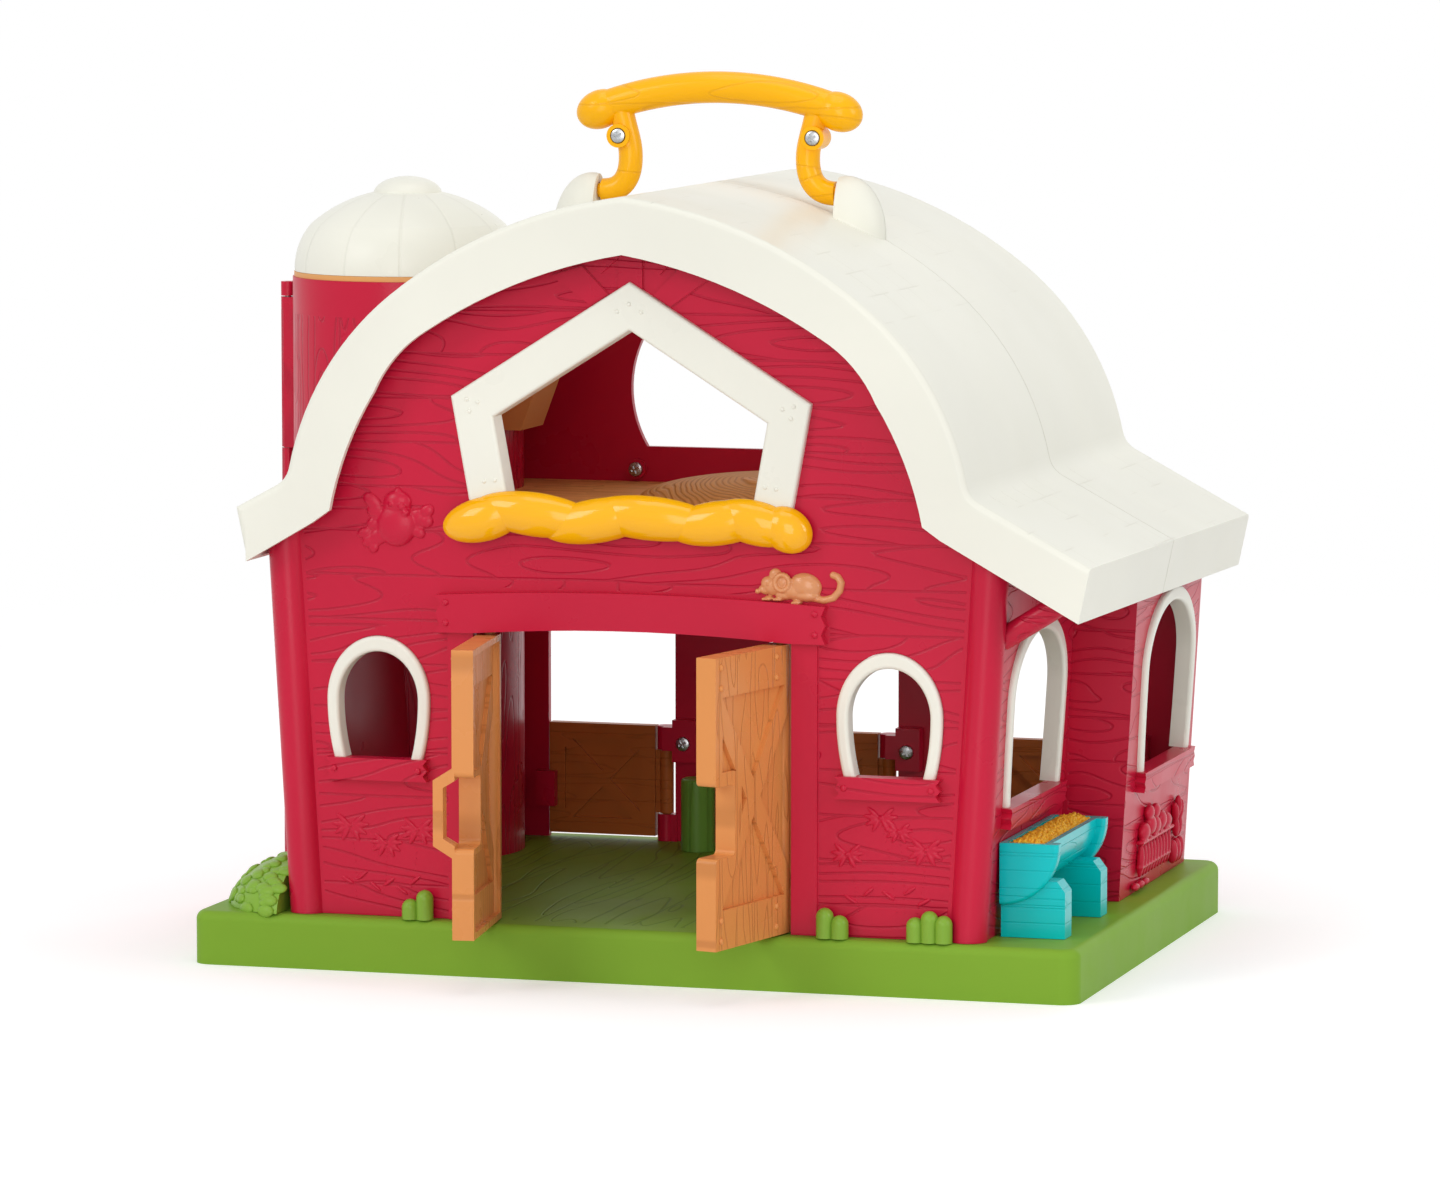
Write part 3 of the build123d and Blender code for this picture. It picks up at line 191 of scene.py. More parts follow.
def settled(piece: bpy.types.Object, name: str) -> bpy.types.Object:
    """Replace a piece that has live modifiers by its finished mesh.

    Args:
        piece: Object with modifiers.
        name: Name of the finished piece.

    Returns:
        A plain object at the origin.
    """
    bpy.context.view_layer.update()
    graph = bpy.context.evaluated_depsgraph_get()
    mesh = bpy.data.meshes.new_from_object(piece.evaluated_get(graph))
    mesh.name = name
    bpy.data.objects.remove(piece)
    return link_piece(name, mesh)


def soften(piece: bpy.types.Object, angle: float = 40.0) -> None:
    """Shade a piece smooth except over sharp edges.

    Args:
        piece: Mesh object.
        angle: Largest angle in degrees that still looks round.
    """
    piece.data.shade_smooth()
    work = bmesh.new()
    work.from_mesh(piece.data)
    for edge in work.edges:
        edge.smooth = len(edge.link_faces) == 2 and edge.calc_face_angle(0.0) < math.radians(angle)
    work.to_mesh(piece.data)
    work.free()


def dress(piece: bpy.types.Object, material: bpy.types.Material) -> None:
    """Give every face of a piece one material."""
    piece.data.materials.clear()
    piece.data.materials.append(material)


# ---------------------------------------------------------------- moulded patterns

class Run(Enum):
    """How boards run on a piece: the axis along them and the axis across them."""

    ALONG_X = ("X", "Z")
    ALONG_Y = ("Y", "Z")
    UPRIGHT = ("Z", "X")
    DECK = ("Y", "X")
    LOFT = ("X", "Y")
    ROUND = ("Z", "round the silo")


class Facing(Enum):
    """Side of a piece that the mould's pattern is cut into."""

    ALL = (0.0, 0.0, 0.0)
    FRONT = (0.0, -1.0, 0.0)
    REAR = (0.0, 1.0, 0.0)
    LEFT = (-1.0, 0.0, 0.0)
    RIGHT = (1.0, 0.0, 0.0)
    UP = (0.0, 0.0, 1.0)


@dataclass(frozen=True)
class Area:
    """Rectangle of a wall in millimetres; `lean` tilts its sides, `twin` mirrors it left to right."""

    across: float
    half_width: float
    up: float
    half_height: float
    lean: float = 0.0
    twin: bool = True

    def outside(self, tree: bpy.types.NodeTree, across: bpy.types.Node, up: bpy.types.Node) -> bpy.types.Node:
        """Add the distance by which a point lies outside the rectangle.

        Args:
            tree: Material tree.
            across: Sideways place in millimetres.
            up: Height in millimetres.

        Returns:
            A node that is negative inside.
        """
        side = add_node(tree, "ABSOLUTE", across) if self.twin else across
        side = add_node(tree, "MULTIPLY_ADD", up, -self.lean, side)
        side = add_node(tree, "ABSOLUTE", add_node(tree, "SUBTRACT", side, self.across))
        height = add_node(tree, "ABSOLUTE", add_node(tree, "SUBTRACT", up, self.up))
        return add_node(
            tree, "MAXIMUM", add_node(tree, "SUBTRACT", side, self.half_width),
            add_node(tree, "SUBTRACT", height, self.half_height),
        )


@dataclass(frozen=True)
class MouldFrame:
    """Coordinates of a mould's pattern in millimetres, from a centre and turned about the upright.

    The pattern fades out where a face turns away from the chosen side: `square_on` and
    `turned_away` are cosines of that angle.
    """

    centre: Point = (0.0, 0.0, 0.0)
    turn: float = 0.0
    facing: Facing = Facing.ALL
    turned_away: float = 0.6
    square_on: float = 0.8

    def place(self, tree: bpy.types.NodeTree) -> bpy.types.Node:
        """Add the three coordinates.

        Args:
            tree: Material tree.

        Returns:
            A Separate XYZ node.
        """
        spot = add_node(tree, "ShaderNodeTexCoord")
        moved = add_node(
            tree, "ShaderNodeVectorMath", spot.outputs["Object"], tuple(v * MM for v in self.centre),
            operation="SUBTRACT",
        )
        scaled = add_node(tree, "ShaderNodeVectorMath", moved, operation="SCALE", sockets={"Scale": 1 / MM})
        turned = add_node(
            tree, "ShaderNodeVectorRotate", scaled, rotation_type="Z_AXIS",
            sockets={"Angle": math.radians(self.turn)},
        )
        return add_node(tree, "ShaderNodeSeparateXYZ", turned)

    def shown(self, tree: bpy.types.NodeTree, mask: bpy.types.Node) -> bpy.types.Node:
        """Keep a mask on the chosen side of the piece only.

        Args:
            tree: Material tree.
            mask: Mask of the whole pattern.

        Returns:
            The narrowed mask.
        """
        if self.facing is Facing.ALL:
            return mask
        spot = add_node(tree, "ShaderNodeTexCoord")
        towards = add_node(
            tree, "ShaderNodeVectorMath", spot.outputs["Normal"], self.facing.value, operation="DOT_PRODUCT"
        )
        seen = add_node(
            tree, "ShaderNodeMapRange", towards.outputs["Value"], self.turned_away, self.square_on, 0.0, 1.0
        )
        return add_node(tree, "MULTIPLY", mask, seen)


@dataclass(frozen=True)
class BoardGrain:
    """Cartoon boards with drawn growth rings, as cut into the mould; sizes in millimetres.

    The rings are contours of a smooth field, `ring_length` by `ring_width` for one knot,
    and `rings` of them rise from its foot to its top. `wander` bends the seams by a
    share of a board, once in 1 / `wander_pitch` millimetres.
    """

    run: Run
    frame: MouldFrame = MouldFrame()
    board: float = 16.5
    ring_length: float = 86.0
    ring_width: float = 15.0
    rings: float = 6.0
    line: float = 0.62
    plain: tuple[Area, ...] = ()
    only: Optional[Area] = None
    silo_radius: float = 45.4
    fade: float = 0.4
    wander: float = 0.12
    wander_pitch: float = 0.018
    board_shift: float = 7.31
    reading_step: float = 0.5
    least_slope: float = 0.006

    def axes(
        self, tree: bpy.types.NodeTree,
    ) -> tuple[bpy.types.Node, bpy.types.Node, Optional[bpy.types.Node]]:
        """Add the coordinates that the boards follow.

        Args:
            tree: Material tree.

        Returns:
            Distance along the boards, across them and, where they are round, from the silo's axis.
        """
        parts = self.frame.place(tree)
        if self.run is Run.ROUND:
            angle = add_node(tree, "ARCTAN2", parts.outputs["Y"], parts.outputs["X"])
            arc = add_node(tree, "MULTIPLY", angle, self.silo_radius)
            flat = add_node(tree, "ShaderNodeCombineXYZ", parts.outputs["X"], parts.outputs["Y"])
            reach = add_node(tree, "ShaderNodeVectorMath", flat, operation="LENGTH")
            radius = add_node(tree, "ADD", reach.outputs["Value"], 0.0)
            return add_node(tree, "ADD", parts.outputs["Z"], 0.0), arc, radius
        along, across = (add_node(tree, "ADD", parts.outputs[letter], 0.0) for letter in self.run.value)
        return along, across, None

    def height(
        self, tree: bpy.types.NodeTree, along: bpy.types.Node, across: bpy.types.Node, number: bpy.types.Node,
        step: tuple[float, float],
    ) -> bpy.types.Node:
        """Add one reading of the smooth field whose contours are the growth rings.

        Args:
            tree: Material tree.
            along: Distance along the boards.
            across: Distance across the boards.
            number: The board's number, which shifts its rings.
            step: Shift of the reading along and across, in millimetres.

        Returns:
            The noise node.
        """
        u = add_node(tree, "DIVIDE", add_node(tree, "ADD", along, step[0]), self.ring_length)
        u = add_node(tree, "MULTIPLY_ADD", number, self.board_shift, u)
        v = add_node(tree, "DIVIDE", add_node(tree, "ADD", across, step[1]), self.ring_width)
        return add_node(
            tree, "ShaderNodeTexNoise", add_node(tree, "ShaderNodeCombineXYZ", u, v), noise_dimensions="2D",
            sockets={"Scale": 1.0, "Detail": 0.0},
        )

    def ring_distance(
        self, tree: bpy.types.NodeTree, along: bpy.types.Node, across: bpy.types.Node, number: bpy.types.Node,
    ) -> bpy.types.Node:
        """Add the distance to the nearest growth ring: height over slope, so that lines keep their width.

        Args:
            tree: Material tree.
            along: Distance along the boards.
            across: Distance across the boards.
            number: The board's number.

        Returns:
            A node in millimetres.
        """
        here, ahead, above = (
            self.height(tree, along, across, number, shift)
            for shift in ((0.0, 0.0), (self.reading_step, 0.0), (0.0, self.reading_step))
        )
        slopes = [add_node(tree, "SUBTRACT", other, here) for other in (ahead, above)]
        squares = [add_node(tree, "MULTIPLY", slope, slope) for slope in slopes]
        steep = add_node(tree, "SQRT", add_node(tree, "ADD", *squares))
        steep = add_node(tree, "MULTIPLY_ADD", steep, self.rings / self.reading_step, self.least_slope)
        level = add_node(tree, "FRACT", add_node(tree, "MULTIPLY", here, self.rings))
        away = add_node(tree, "ABSOLUTE", add_node(tree, "SUBTRACT", level, 0.5))
        return add_node(tree, "DIVIDE", away, steep)

    def trimmed(
        self, tree: bpy.types.NodeTree, mask: bpy.types.Node, along: bpy.types.Node, across: bpy.types.Node,
    ) -> bpy.types.Node:
        """Clear a mask on the plain areas and outside the only area.

        Args:
            tree: Material tree.
            mask: Mask of the lines.
            along: Distance along the boards.
            across: Distance across the boards.

        Returns:
            The narrowed mask.
        """
        for area in self.plain:
            free = add_node(
                tree, "ShaderNodeMapRange", area.outside(tree, along, across), 0.0, self.fade, 0.0, 1.0
            )
            mask = add_node(tree, "MULTIPLY", mask, free)
        if self.only is not None:
            kept = add_node(
                tree, "ShaderNodeMapRange", self.only.outside(tree, along, across), -self.fade, 0.0, 1.0, 0.0
            )
            mask = add_node(tree, "MULTIPLY", mask, kept)
        return mask

    def lines(self, tree: bpy.types.NodeTree) -> bpy.types.Node:
        """Add the mask of the drawn lines.

        Args:
            tree: Material tree.

        Returns:
            A node that is 1 on a line and 0 beside it.
        """
        along, across, radius = self.axes(tree)
        drift = add_node(tree, "MULTIPLY", along, self.wander_pitch)
        wander = add_node(
            tree, "ShaderNodeTexNoise", noise_dimensions="1D", sockets={"W": drift, "Scale": 1.0}
        )
        straight = add_node(tree, "DIVIDE", across, self.board)
        row = add_node(tree, "MULTIPLY_ADD", wander, self.wander, straight)
        number = add_node(tree, "FLOOR", row)
        middle = add_node(tree, "ABSOLUTE", add_node(tree, "SUBTRACT", add_node(tree, "FRACT", row), 0.5))
        seam = add_node(tree, "MULTIPLY", add_node(tree, "SUBTRACT", 0.5, middle), self.board)
        near = add_node(tree, "MINIMUM", self.ring_distance(tree, along, across, number), seam)
        mask = add_node(
            tree, "ShaderNodeMapRange", near, 0.25 * self.line, self.line, 1.0, 0.0,
            interpolation_type="SMOOTHSTEP",
        )
        mask = self.trimmed(tree, mask, along, across)
        if radius is not None:
            skin = add_node(tree, "GREATER_THAN", radius, self.silo_radius - self.fade)
            mask = add_node(tree, "MULTIPLY", mask, skin)
        return self.frame.shown(tree, mask)


@dataclass(frozen=True)
class Shingles:
    """Faint shingle joints pressed into a roof, gone in most places; sizes in millimetres.

    `slope` is the cosine of the roof's 45 degrees, and `worn` is the range of the
    patches' noise over which the joints come back.
    """

    row: float = 13.0
    width: float = 17.0
    joint: float = 0.35
    slope: float = 0.7071
    patch: float = 33.333
    worn: tuple[float, float] = (0.52, 0.64)
    frame: MouldFrame = MouldFrame(facing=Facing.UP)

    def lines(self, tree: bpy.types.NodeTree) -> bpy.types.Node:
        """Add the mask of the shingle joints.

        Args:
            tree: Material tree.

        Returns:
            A node that is 1 in a joint and 0 elsewhere.
        """
        parts = self.frame.place(tree)
        side = add_node(tree, "ABSOLUTE", parts.outputs["X"])
        down = add_node(tree, "MULTIPLY", add_node(tree, "SUBTRACT", side, parts.outputs["Z"]), self.slope)
        brick = add_node(
            tree, "ShaderNodeTexBrick", add_node(tree, "ShaderNodeCombineXYZ", parts.outputs["Y"], down),
            sockets={
                "Color1": (0, 0, 0, 1), "Color2": (0, 0, 0, 1), "Mortar": (1, 1, 1, 1), "Scale": 1.0,
                "Mortar Size": self.joint, "Mortar Smooth": 0.5, "Brick Width": self.width,
                "Row Height": self.row,
            },
        )
        spot = add_node(tree, "ShaderNodeTexCoord")
        patches = add_node(
            tree, "ShaderNodeTexNoise", spot.outputs["Object"],
            sockets={"Scale": per_metre(self.patch), "Detail": 1.0},
        )
        worn = add_node(
            tree, "ShaderNodeMapRange", patches, *self.worn, 0.0, 1.0, interpolation_type="SMOOTHSTEP"
        )
        return self.frame.shown(tree, add_node(tree, "MULTIPLY", brick, worn))


@dataclass(frozen=True)
class RoofSeam:
    """Joint where the two halves of a roof meet over the middle; sizes in millimetres."""

    half_width: float = 0.45
    fade: float = 2.2

    def lines(self, tree: bpy.types.NodeTree) -> bpy.types.Node:
        """Add the mask of the joint.

        Args:
            tree: Material tree.

        Returns:
            A node that is 1 on the joint.
        """
        parts = MouldFrame().place(tree)
        away = add_node(tree, "ABSOLUTE", parts.outputs["Y"])
        edge = self.fade * self.half_width
        return add_node(tree, "ShaderNodeMapRange", away, self.half_width, edge, 1.0, 0.0)


@dataclass(frozen=True)
class DomeSeams:
    """Upright seams that divide a dome into equal gores; sizes in millimetres."""

    frame: MouldFrame
    gores: int = 12
    line: float = 0.7
    knob_radius: float = 15.5

    def lines(self, tree: bpy.types.NodeTree) -> bpy.types.Node:
        """Add the mask of the seams.

        Args:
            tree: Material tree.

        Returns:
            A node that is 1 on a seam.
        """
        parts = self.frame.place(tree)
        angle = add_node(tree, "ARCTAN2", parts.outputs["Y"], parts.outputs["X"])
        share = add_node(tree, "FRACT", add_node(tree, "MULTIPLY", angle, self.gores / (2 * math.pi)))
        away = add_node(tree, "ABSOLUTE", add_node(tree, "SUBTRACT", share, 0.5))
        flat = add_node(tree, "ShaderNodeCombineXYZ", parts.outputs["X"], parts.outputs["Y"])
        reach = add_node(tree, "ShaderNodeVectorMath", flat, operation="LENGTH")
        arc = add_node(tree, "MULTIPLY", away, add_node(
            tree, "MULTIPLY", reach.outputs["Value"], 2 * math.pi / self.gores
        ))
        seam = add_node(tree, "ShaderNodeMapRange", arc, 0.3 * self.line, self.line, 1.0, 0.0)
        return add_node(
            tree, "MULTIPLY", seam, add_node(tree, "GREATER_THAN", reach.outputs["Value"], self.knob_radius)
        )


@dataclass(frozen=True)
class Strands:
    """Combed straw in a swirl: long wavy grooves at the width of a stalk; sizes in millimetres.

    `groove` is the share of a stalk over which the shadow beside it fades.
    """

    stalk: float = 2.4
    centre: Point = (26.0, 34.0, 164.0)
    waviness: float = 16.0
    wave: float = 33.333
    groove: tuple[float, float] = (0.05, 0.3)

    def lines(self, tree: bpy.types.NodeTree) -> bpy.types.Node:
        """Add the mask of the grooves between stalks.

        Args:
            tree: Material tree.

        Returns:
            A node that is 1 between stalks.
        """
        parts = MouldFrame(self.centre).place(tree)
        spot = add_node(tree, "ShaderNodeTexCoord")
        waves = add_node(
            tree, "ShaderNodeTexNoise", spot.outputs["Object"],
            sockets={"Scale": per_metre(self.wave), "Detail": 2.0},
        )
        flat = add_node(tree, "ShaderNodeCombineXYZ", parts.outputs["X"], parts.outputs["Y"])
        reach = add_node(tree, "ShaderNodeVectorMath", flat, operation="LENGTH").outputs["Value"]
        angle = add_node(tree, "ARCTAN2", parts.outputs["Y"], parts.outputs["X"])
        reach = add_node(tree, "MULTIPLY_ADD", angle, 2 * self.stalk / math.pi, reach)
        reach = add_node(tree, "MULTIPLY_ADD", waves, self.waviness, reach)
        share = add_node(tree, "FRACT", add_node(tree, "DIVIDE", reach, self.stalk))
        away = add_node(tree, "ABSOLUTE", add_node(tree, "SUBTRACT", share, 0.5))
        return add_node(
            tree, "ShaderNodeMapRange", away, *self.groove, 1.0, 0.0, interpolation_type="SMOOTHSTEP"
        )


Pattern = Union[BoardGrain, Shingles, RoofSeam, DomeSeams, Strands]


# ---------------------------------------------------------------- finishes

class Shade(Enum):
    """Colour of a moulded plastic and of the shadow in its grooves."""

    BARN_RED = ("#C41739", "#8E0E28")
    CREAM = ("#ECEBDF", "#CFCABB")
    GRASS = ("#7FA836", "#4E7220")
    BUSH = ("#83AE38", "#567A26")
    POST = ("#6C9A3C", "#446A22")
    TAN = ("#DC9050", "#995A28")
    BROWN = ("#B8662F", "#6E3314")
    LOFT = ("#EDAA68", "#945A26")
    STRAW = ("#E0A262", "#A0662E")
    CHUTE = ("#D89A60", "#A06E38")
    YELLOW = ("#FCB604", "#D89404")
    TEAL = ("#00C2C6", "#008890")
    FEED = ("#F2B632", "#B3701A")
    MOUSE = ("#D89260", "#97603A")


@dataclass(frozen=True)
class MouldedPlastic:
    """Injection-moulded ABS, coloured right through.

    The eye gets a soft sheen broken by a faint orange peel, cloudy tone from the
    flow of the melt, painted shade in the mould's grooves and light handling scuffs.
    Sizes are in millimetres. The peel is drawn several times coarser than the real
    one, which is too fine to show.
    """

    name: str
    shade: Shade
    roughness: float = 0.34
    patterns: tuple[Pattern, ...] = ()
    depth: float = 0.35
    # share of the darker groove colour mixed into the pattern's lines: painted shade in grooves, seams and
    # joints
    groove_shade: float = 0.3
    sheen: float = 0.24
    cloud: float = 111.11
    tones: tuple[float, float] = (0.95, 1.03)
    peel: float = 1.5385
    peel_height: float = 0.2
    scuff: float = 26.316
    polished: float = 0.03
    scuffed: float = 0.07

    def material(self) -> bpy.types.Material:
        """Build the material.

        Returns:
            A node material.
        """
        material = bpy.data.materials.new(self.name)
        tree = fresh_tree(material)
        body, groove = (linear(value) for value in self.shade.value)
        place = add_node(tree, "ShaderNodeTexCoord").outputs["Object"]
        cloud, peel, scuffs = (
            add_node(tree, "ShaderNodeTexNoise", place, sockets={"Scale": per_metre(size), "Detail": detail})
            for size, detail in ((self.cloud, 3.0), (self.peel, 1.0), (self.scuff, 4.0))
        )
        tone = add_node(tree, "ShaderNodeMapRange", cloud, 0.3, 0.7, *self.tones)
        colour = add_node(tree, "ShaderNodeVectorMath", body[:3], tone, operation="MULTIPLY").outputs[0]
        bump = add_node(
            tree, "ShaderNodeBump",
            sockets={"Strength": 0.04, "Distance": self.peel_height * MM, "Height": peel},
        )
        if self.patterns:
            masks = [pattern.lines(tree) for pattern in self.patterns]
            mask = reduce(lambda one, other: add_node(tree, "MAXIMUM", one, other), masks)
            # painted shade: the pattern's grooves, seams and joints take the darker groove colour of the
            # Shade
            share = add_node(tree, "MULTIPLY", mask, self.groove_shade)
            colour = add_node(
                tree, "ShaderNodeMix", data_type="RGBA", sockets={0: share, 6: colour, 7: groove}
            ).outputs[2]
            floor = add_node(tree, "SUBTRACT", 1.0, mask)
            bump = add_node(
                tree, "ShaderNodeBump",
                sockets={"Strength": 0.7, "Distance": self.depth * MM, "Height": floor, "Normal": bump},
            )
        rough = add_node(
            tree, "ShaderNodeMapRange", scuffs, 0.35, 0.75,
            self.roughness - self.polished, self.roughness + self.scuffed,
        )
        shader = add_node(
            tree, "ShaderNodeBsdfPrincipled",
            sockets={"Base Color": colour, "Roughness": rough, "Normal": bump, "IOR": 1.5,
                     "Specular IOR Level": self.sheen},
        )
        add_node(tree, "ShaderNodeOutputMaterial", shader)
        return material


@dataclass(frozen=True)
class ZincSteel:
    """Bright zinc plate on the screws: pale metal with faint turning marks, drawn coarse enough to show."""

    name: str = "zinc_plated_steel"
    shade: str = "#B4B6B8"
    mark: float = 1.1111
    mark_height: float = 0.1

    def material(self) -> bpy.types.Material:
        """Build the material.

        Returns:
            A node material.
        """
        material = bpy.data.materials.new(self.name)
        tree = fresh_tree(material)
        place = add_node(tree, "ShaderNodeTexCoord").outputs["Object"]
        marks = add_node(
            tree, "ShaderNodeTexNoise", place, sockets={"Scale": per_metre(self.mark), "Detail": 3.0}
        )
        rough = add_node(tree, "ShaderNodeMapRange", marks, 0.3, 0.7, 0.2, 0.38)
        bump = add_node(
            tree, "ShaderNodeBump",
            sockets={"Strength": 0.15, "Distance": self.mark_height * MM, "Height": marks},
        )
        tone = add_node(tree, "ShaderNodeMapRange", marks, 0.3, 0.7, 0.85, 1.05)
        colour = add_node(tree, "ShaderNodeVectorMath", linear(self.shade)[:3], tone, operation="MULTIPLY")
        shader = add_node(
            tree, "ShaderNodeBsdfPrincipled",
            sockets={"Base Color": colour, "Metallic": 1.0, "Roughness": rough, "Normal": bump},
        )
        add_node(tree, "ShaderNodeOutputMaterial", shader)
        return material


# ---------------------------------------------------------------- geometry nodes

class Recipe:
    """A Geometry Nodes tree that is filled step by step and then baked."""

    def __init__(self, name: str) -> None:
        """Start an empty tree.

        Args:
            name: The tree's name.
        """
        self.tree = bpy.data.node_groups.new(name, "GeometryNodeTree")
        self.tree.interface.new_socket("Geometry", in_out="INPUT", socket_type="NodeSocketGeometry")
        self.tree.interface.new_socket("Geometry", in_out="OUTPUT", socket_type="NodeSocketGeometry")
        self.start = self.tree.nodes.new("NodeGroupInput")
        self.values: dict[str, float] = {}

    def size(self, name: str, value: float) -> bpy.types.NodeSocket:
        """Add a named input.

        Args:
            name: The input's name.
            value: A length in metres, an amount or a seed.

        Returns:
            The socket to link from.
        """
        self.tree.interface.new_socket(name, in_out="INPUT", socket_type="NodeSocketFloat")
        self.values[name] = value
        return self.start.outputs[name]

    def add(
        self, kind: str, *feeds: Optional[Feed], sockets: Optional[dict[Union[str, int], Feed]] = None,
        **settings: object,
    ) -> bpy.types.Node:
        """Add a node to the tree; see add_node."""
        return add_node(self.tree, kind, *feeds, sockets=sockets, **settings)

    def finish(self, geometry: Feed, material: bpy.types.Material) -> None:
        """End the tree with real meshes that carry the material.

        Args:
            geometry: What the tree has made.
            material: Material of every face.
        """
        real = self.add("GeometryNodeRealizeInstances", geometry)
        rounded = self.add("GeometryNodeSetShadeSmooth", real)
        dressed = self.add("GeometryNodeSetMaterial", rounded, sockets={"Material": material})
        self.add("NodeGroupOutput", dressed)

    def bake(self, seed: bpy.types.Object, name: str) -> bpy.types.Object:
        """Run the tree on a seed mesh and keep the result as a plain piece.

        Args:
            seed: Object whose mesh goes into the tree. It is removed.
            name: Name of the finished piece.

        Returns:
            The finished piece at the origin.
        """
        step = seed.modifiers.new(self.tree.name, "NODES")
        step.node_group = self.tree
        for item in self.tree.interface.items_tree:
            if item.item_type == "SOCKET" and item.name in self.values:
                step[item.identifier] = self.values[item.name]
        seed.update_tag()
        return settled(seed, name)


def stamp(
    name: str, places: Sequence[Point], facings: Sequence[Point], shape: bpy.types.Object,
    material: bpy.types.Material, size: float = 1.0,
) -> bpy.types.Object:
    """Set copies of one shape at points, each facing its own way.

    Args:
        name: Name of the finished piece.
        places: Points in metres.
        facings: Directions that the shape's own +Z takes.
        shape: Shape to copy. It is removed.
        material: Material of the copies.
        size: Scale of the copies.

    Returns:
        One piece with all the copies.
    """
    seed = mesh_piece(f"{name}_seed", places, [])
    mark = seed.data.attributes.new("facing", "FLOAT_VECTOR", "POINT")
    for item, direction in zip(mark.data, facings):
        item.vector = direction
    recipe = Recipe(f"{name}_stamp")
    scale = recipe.size("Copy size", size)
    facing = recipe.add("GeometryNodeInputNamedAttribute", "facing", data_type="FLOAT_VECTOR")
    turn = recipe.add("FunctionNodeAlignRotationToVector", sockets={"Vector": facing}, axis="Z")
    source = recipe.add("GeometryNodeObjectInfo", shape)
    copies = recipe.add(
        "GeometryNodeInstanceOnPoints",
        sockets={"Points": recipe.start.outputs[0], "Instance": source.outputs["Geometry"],
                 "Rotation": turn, "Scale": scale},
    )
    recipe.finish(copies, material)
    piece = recipe.bake(seed, name)
    bpy.data.objects.remove(shape)
    return piece


@dataclass(frozen=True)
class Scatter:
    """How small copies are strewn over a surface: copies per square metre, their size range and a seed."""

    density: float
    smallest: float
    largest: float
    seed: float
    tumbled: bool = False
    least_upward: float = 0.12

    def strew(
        self, name: str, ground: bpy.types.Object, shape: bpy.types.Object, material: bpy.types.Material
    ) -> bpy.types.Object:
        """Strew the copies over the upward faces of a mesh.

        Args:
            name: Name of the finished piece.
            ground: Surface to cover. It is removed.
            shape: Shape to copy. It is removed.
            material: Material of the copies.

        Returns:
            One piece with all the copies.
        """
        recipe = Recipe(f"{name}_scatter")
        amount = recipe.size("Copies per square metre", self.density)
        seed = recipe.size("Seed", self.seed)
        least, most = recipe.size("Smallest", self.smallest), recipe.size("Largest", self.largest)
        upward = recipe.add("ShaderNodeSeparateXYZ", recipe.add("GeometryNodeInputNormal"))
        chosen = recipe.add("GREATER_THAN", upward.outputs["Z"], self.least_upward)
        spread = recipe.add(
            "GeometryNodeDistributePointsOnFaces", recipe.start.outputs[0],
            sockets={"Selection": chosen, "Density": amount, "Seed": seed},
        )
        scale = recipe.add(
            "FunctionNodeRandomValue", data_type="FLOAT", sockets={2: least, 3: most, "Seed": 3}
        )
        turn = spread.outputs["Rotation"]
        if self.tumbled:
            turn = recipe.add(
                "FunctionNodeRandomValue", data_type="FLOAT_VECTOR", sockets={1: FULL_TURNS, "Seed": 5}
            ).outputs[0]
        source = recipe.add("GeometryNodeObjectInfo", shape)
        copies = recipe.add(
            "GeometryNodeInstanceOnPoints", spread.outputs["Points"],
            sockets={"Instance": source.outputs["Geometry"], "Rotation": turn, "Scale": scale.outputs[1]},
        )
        recipe.finish(copies, material)
        piece = recipe.bake(ground, name)
        bpy.data.objects.remove(shape)
        return piece


def lathe(name: str, profile: Sequence[tuple[float, float]], segments: int = 32) -> bpy.types.Object:
    """Turn a profile round the upright axis.

    Args:
        name: Name of the shape.
        profile: Radius and height pairs in metres, from the bottom up.
        segments: Steps round the circle.

    Returns:
        A closed shape with its axis on the origin.
    """
    turns = [2 * math.pi * i / segments for i in range(segments)]
    verts = [(r * math.cos(a), r * math.sin(a), z) for r, z in profile for a in turns]
    faces = [
        (low * segments + i, low * segments + j, (low + 1) * segments + j, (low + 1) * segments + i)
        for low in range(len(profile) - 1) for i, j in ((i, (i + 1) % segments) for i in range(segments))
    ]
    faces.append(tuple(reversed(range(segments))))
    faces.append(tuple(range((len(profile) - 1) * segments, len(profile) * segments)))
    return mesh_piece(name, verts, faces)


def pebble(name: str, radii: Point, detail: int) -> bpy.types.Object:
    """Make a small egg shape on the origin.

    Args:
        name: Name of the shape.
        radii: Its three radii in metres.
        detail: 1 gives 20 faces and 2 gives 80.

    Returns:
        The shape.
    """
    work = bmesh.new()
    bmesh.ops.create_icosphere(work, subdivisions=detail, radius=1.0, matrix=Matrix.Diagonal((*radii, 1.0)))
    return bmesh_piece(name, work)


# ---------------------------------------------------------------- moulded reliefs

@dataclass(frozen=True)
class Lump:
    """One soft ball of a relief in millimetres: place on the wall, radii, tilt in degrees, distance out."""

    across: float
    up: float
    half_width: float
    half_height: float
    half_depth: float
    tilt: float = 0.0
    out: float = 0.0


@dataclass(frozen=True)
class Wall:
    """Plane that a relief stands on: its origin in millimetres, its sideways and its outward direction."""

    origin: Point
    right: Point = (1.0, 0.0, 0.0)
    outward: Point = (0.0, -1.0, 0.0)

    def matrix(self) -> Matrix:
        """Work out the wall's frame.

        Returns:
            The turn and place of the wall, from millimetres to metres.
        """
        right, outward = Vector(self.right).normalized(), Vector(self.outward).normalized()
        up = outward.cross(right)
        frame = Matrix((right, up, outward)).transposed().to_4x4()
        frame.translation = Vector(self.origin) * MM
        return frame @ Matrix.Scale(MM, 4)


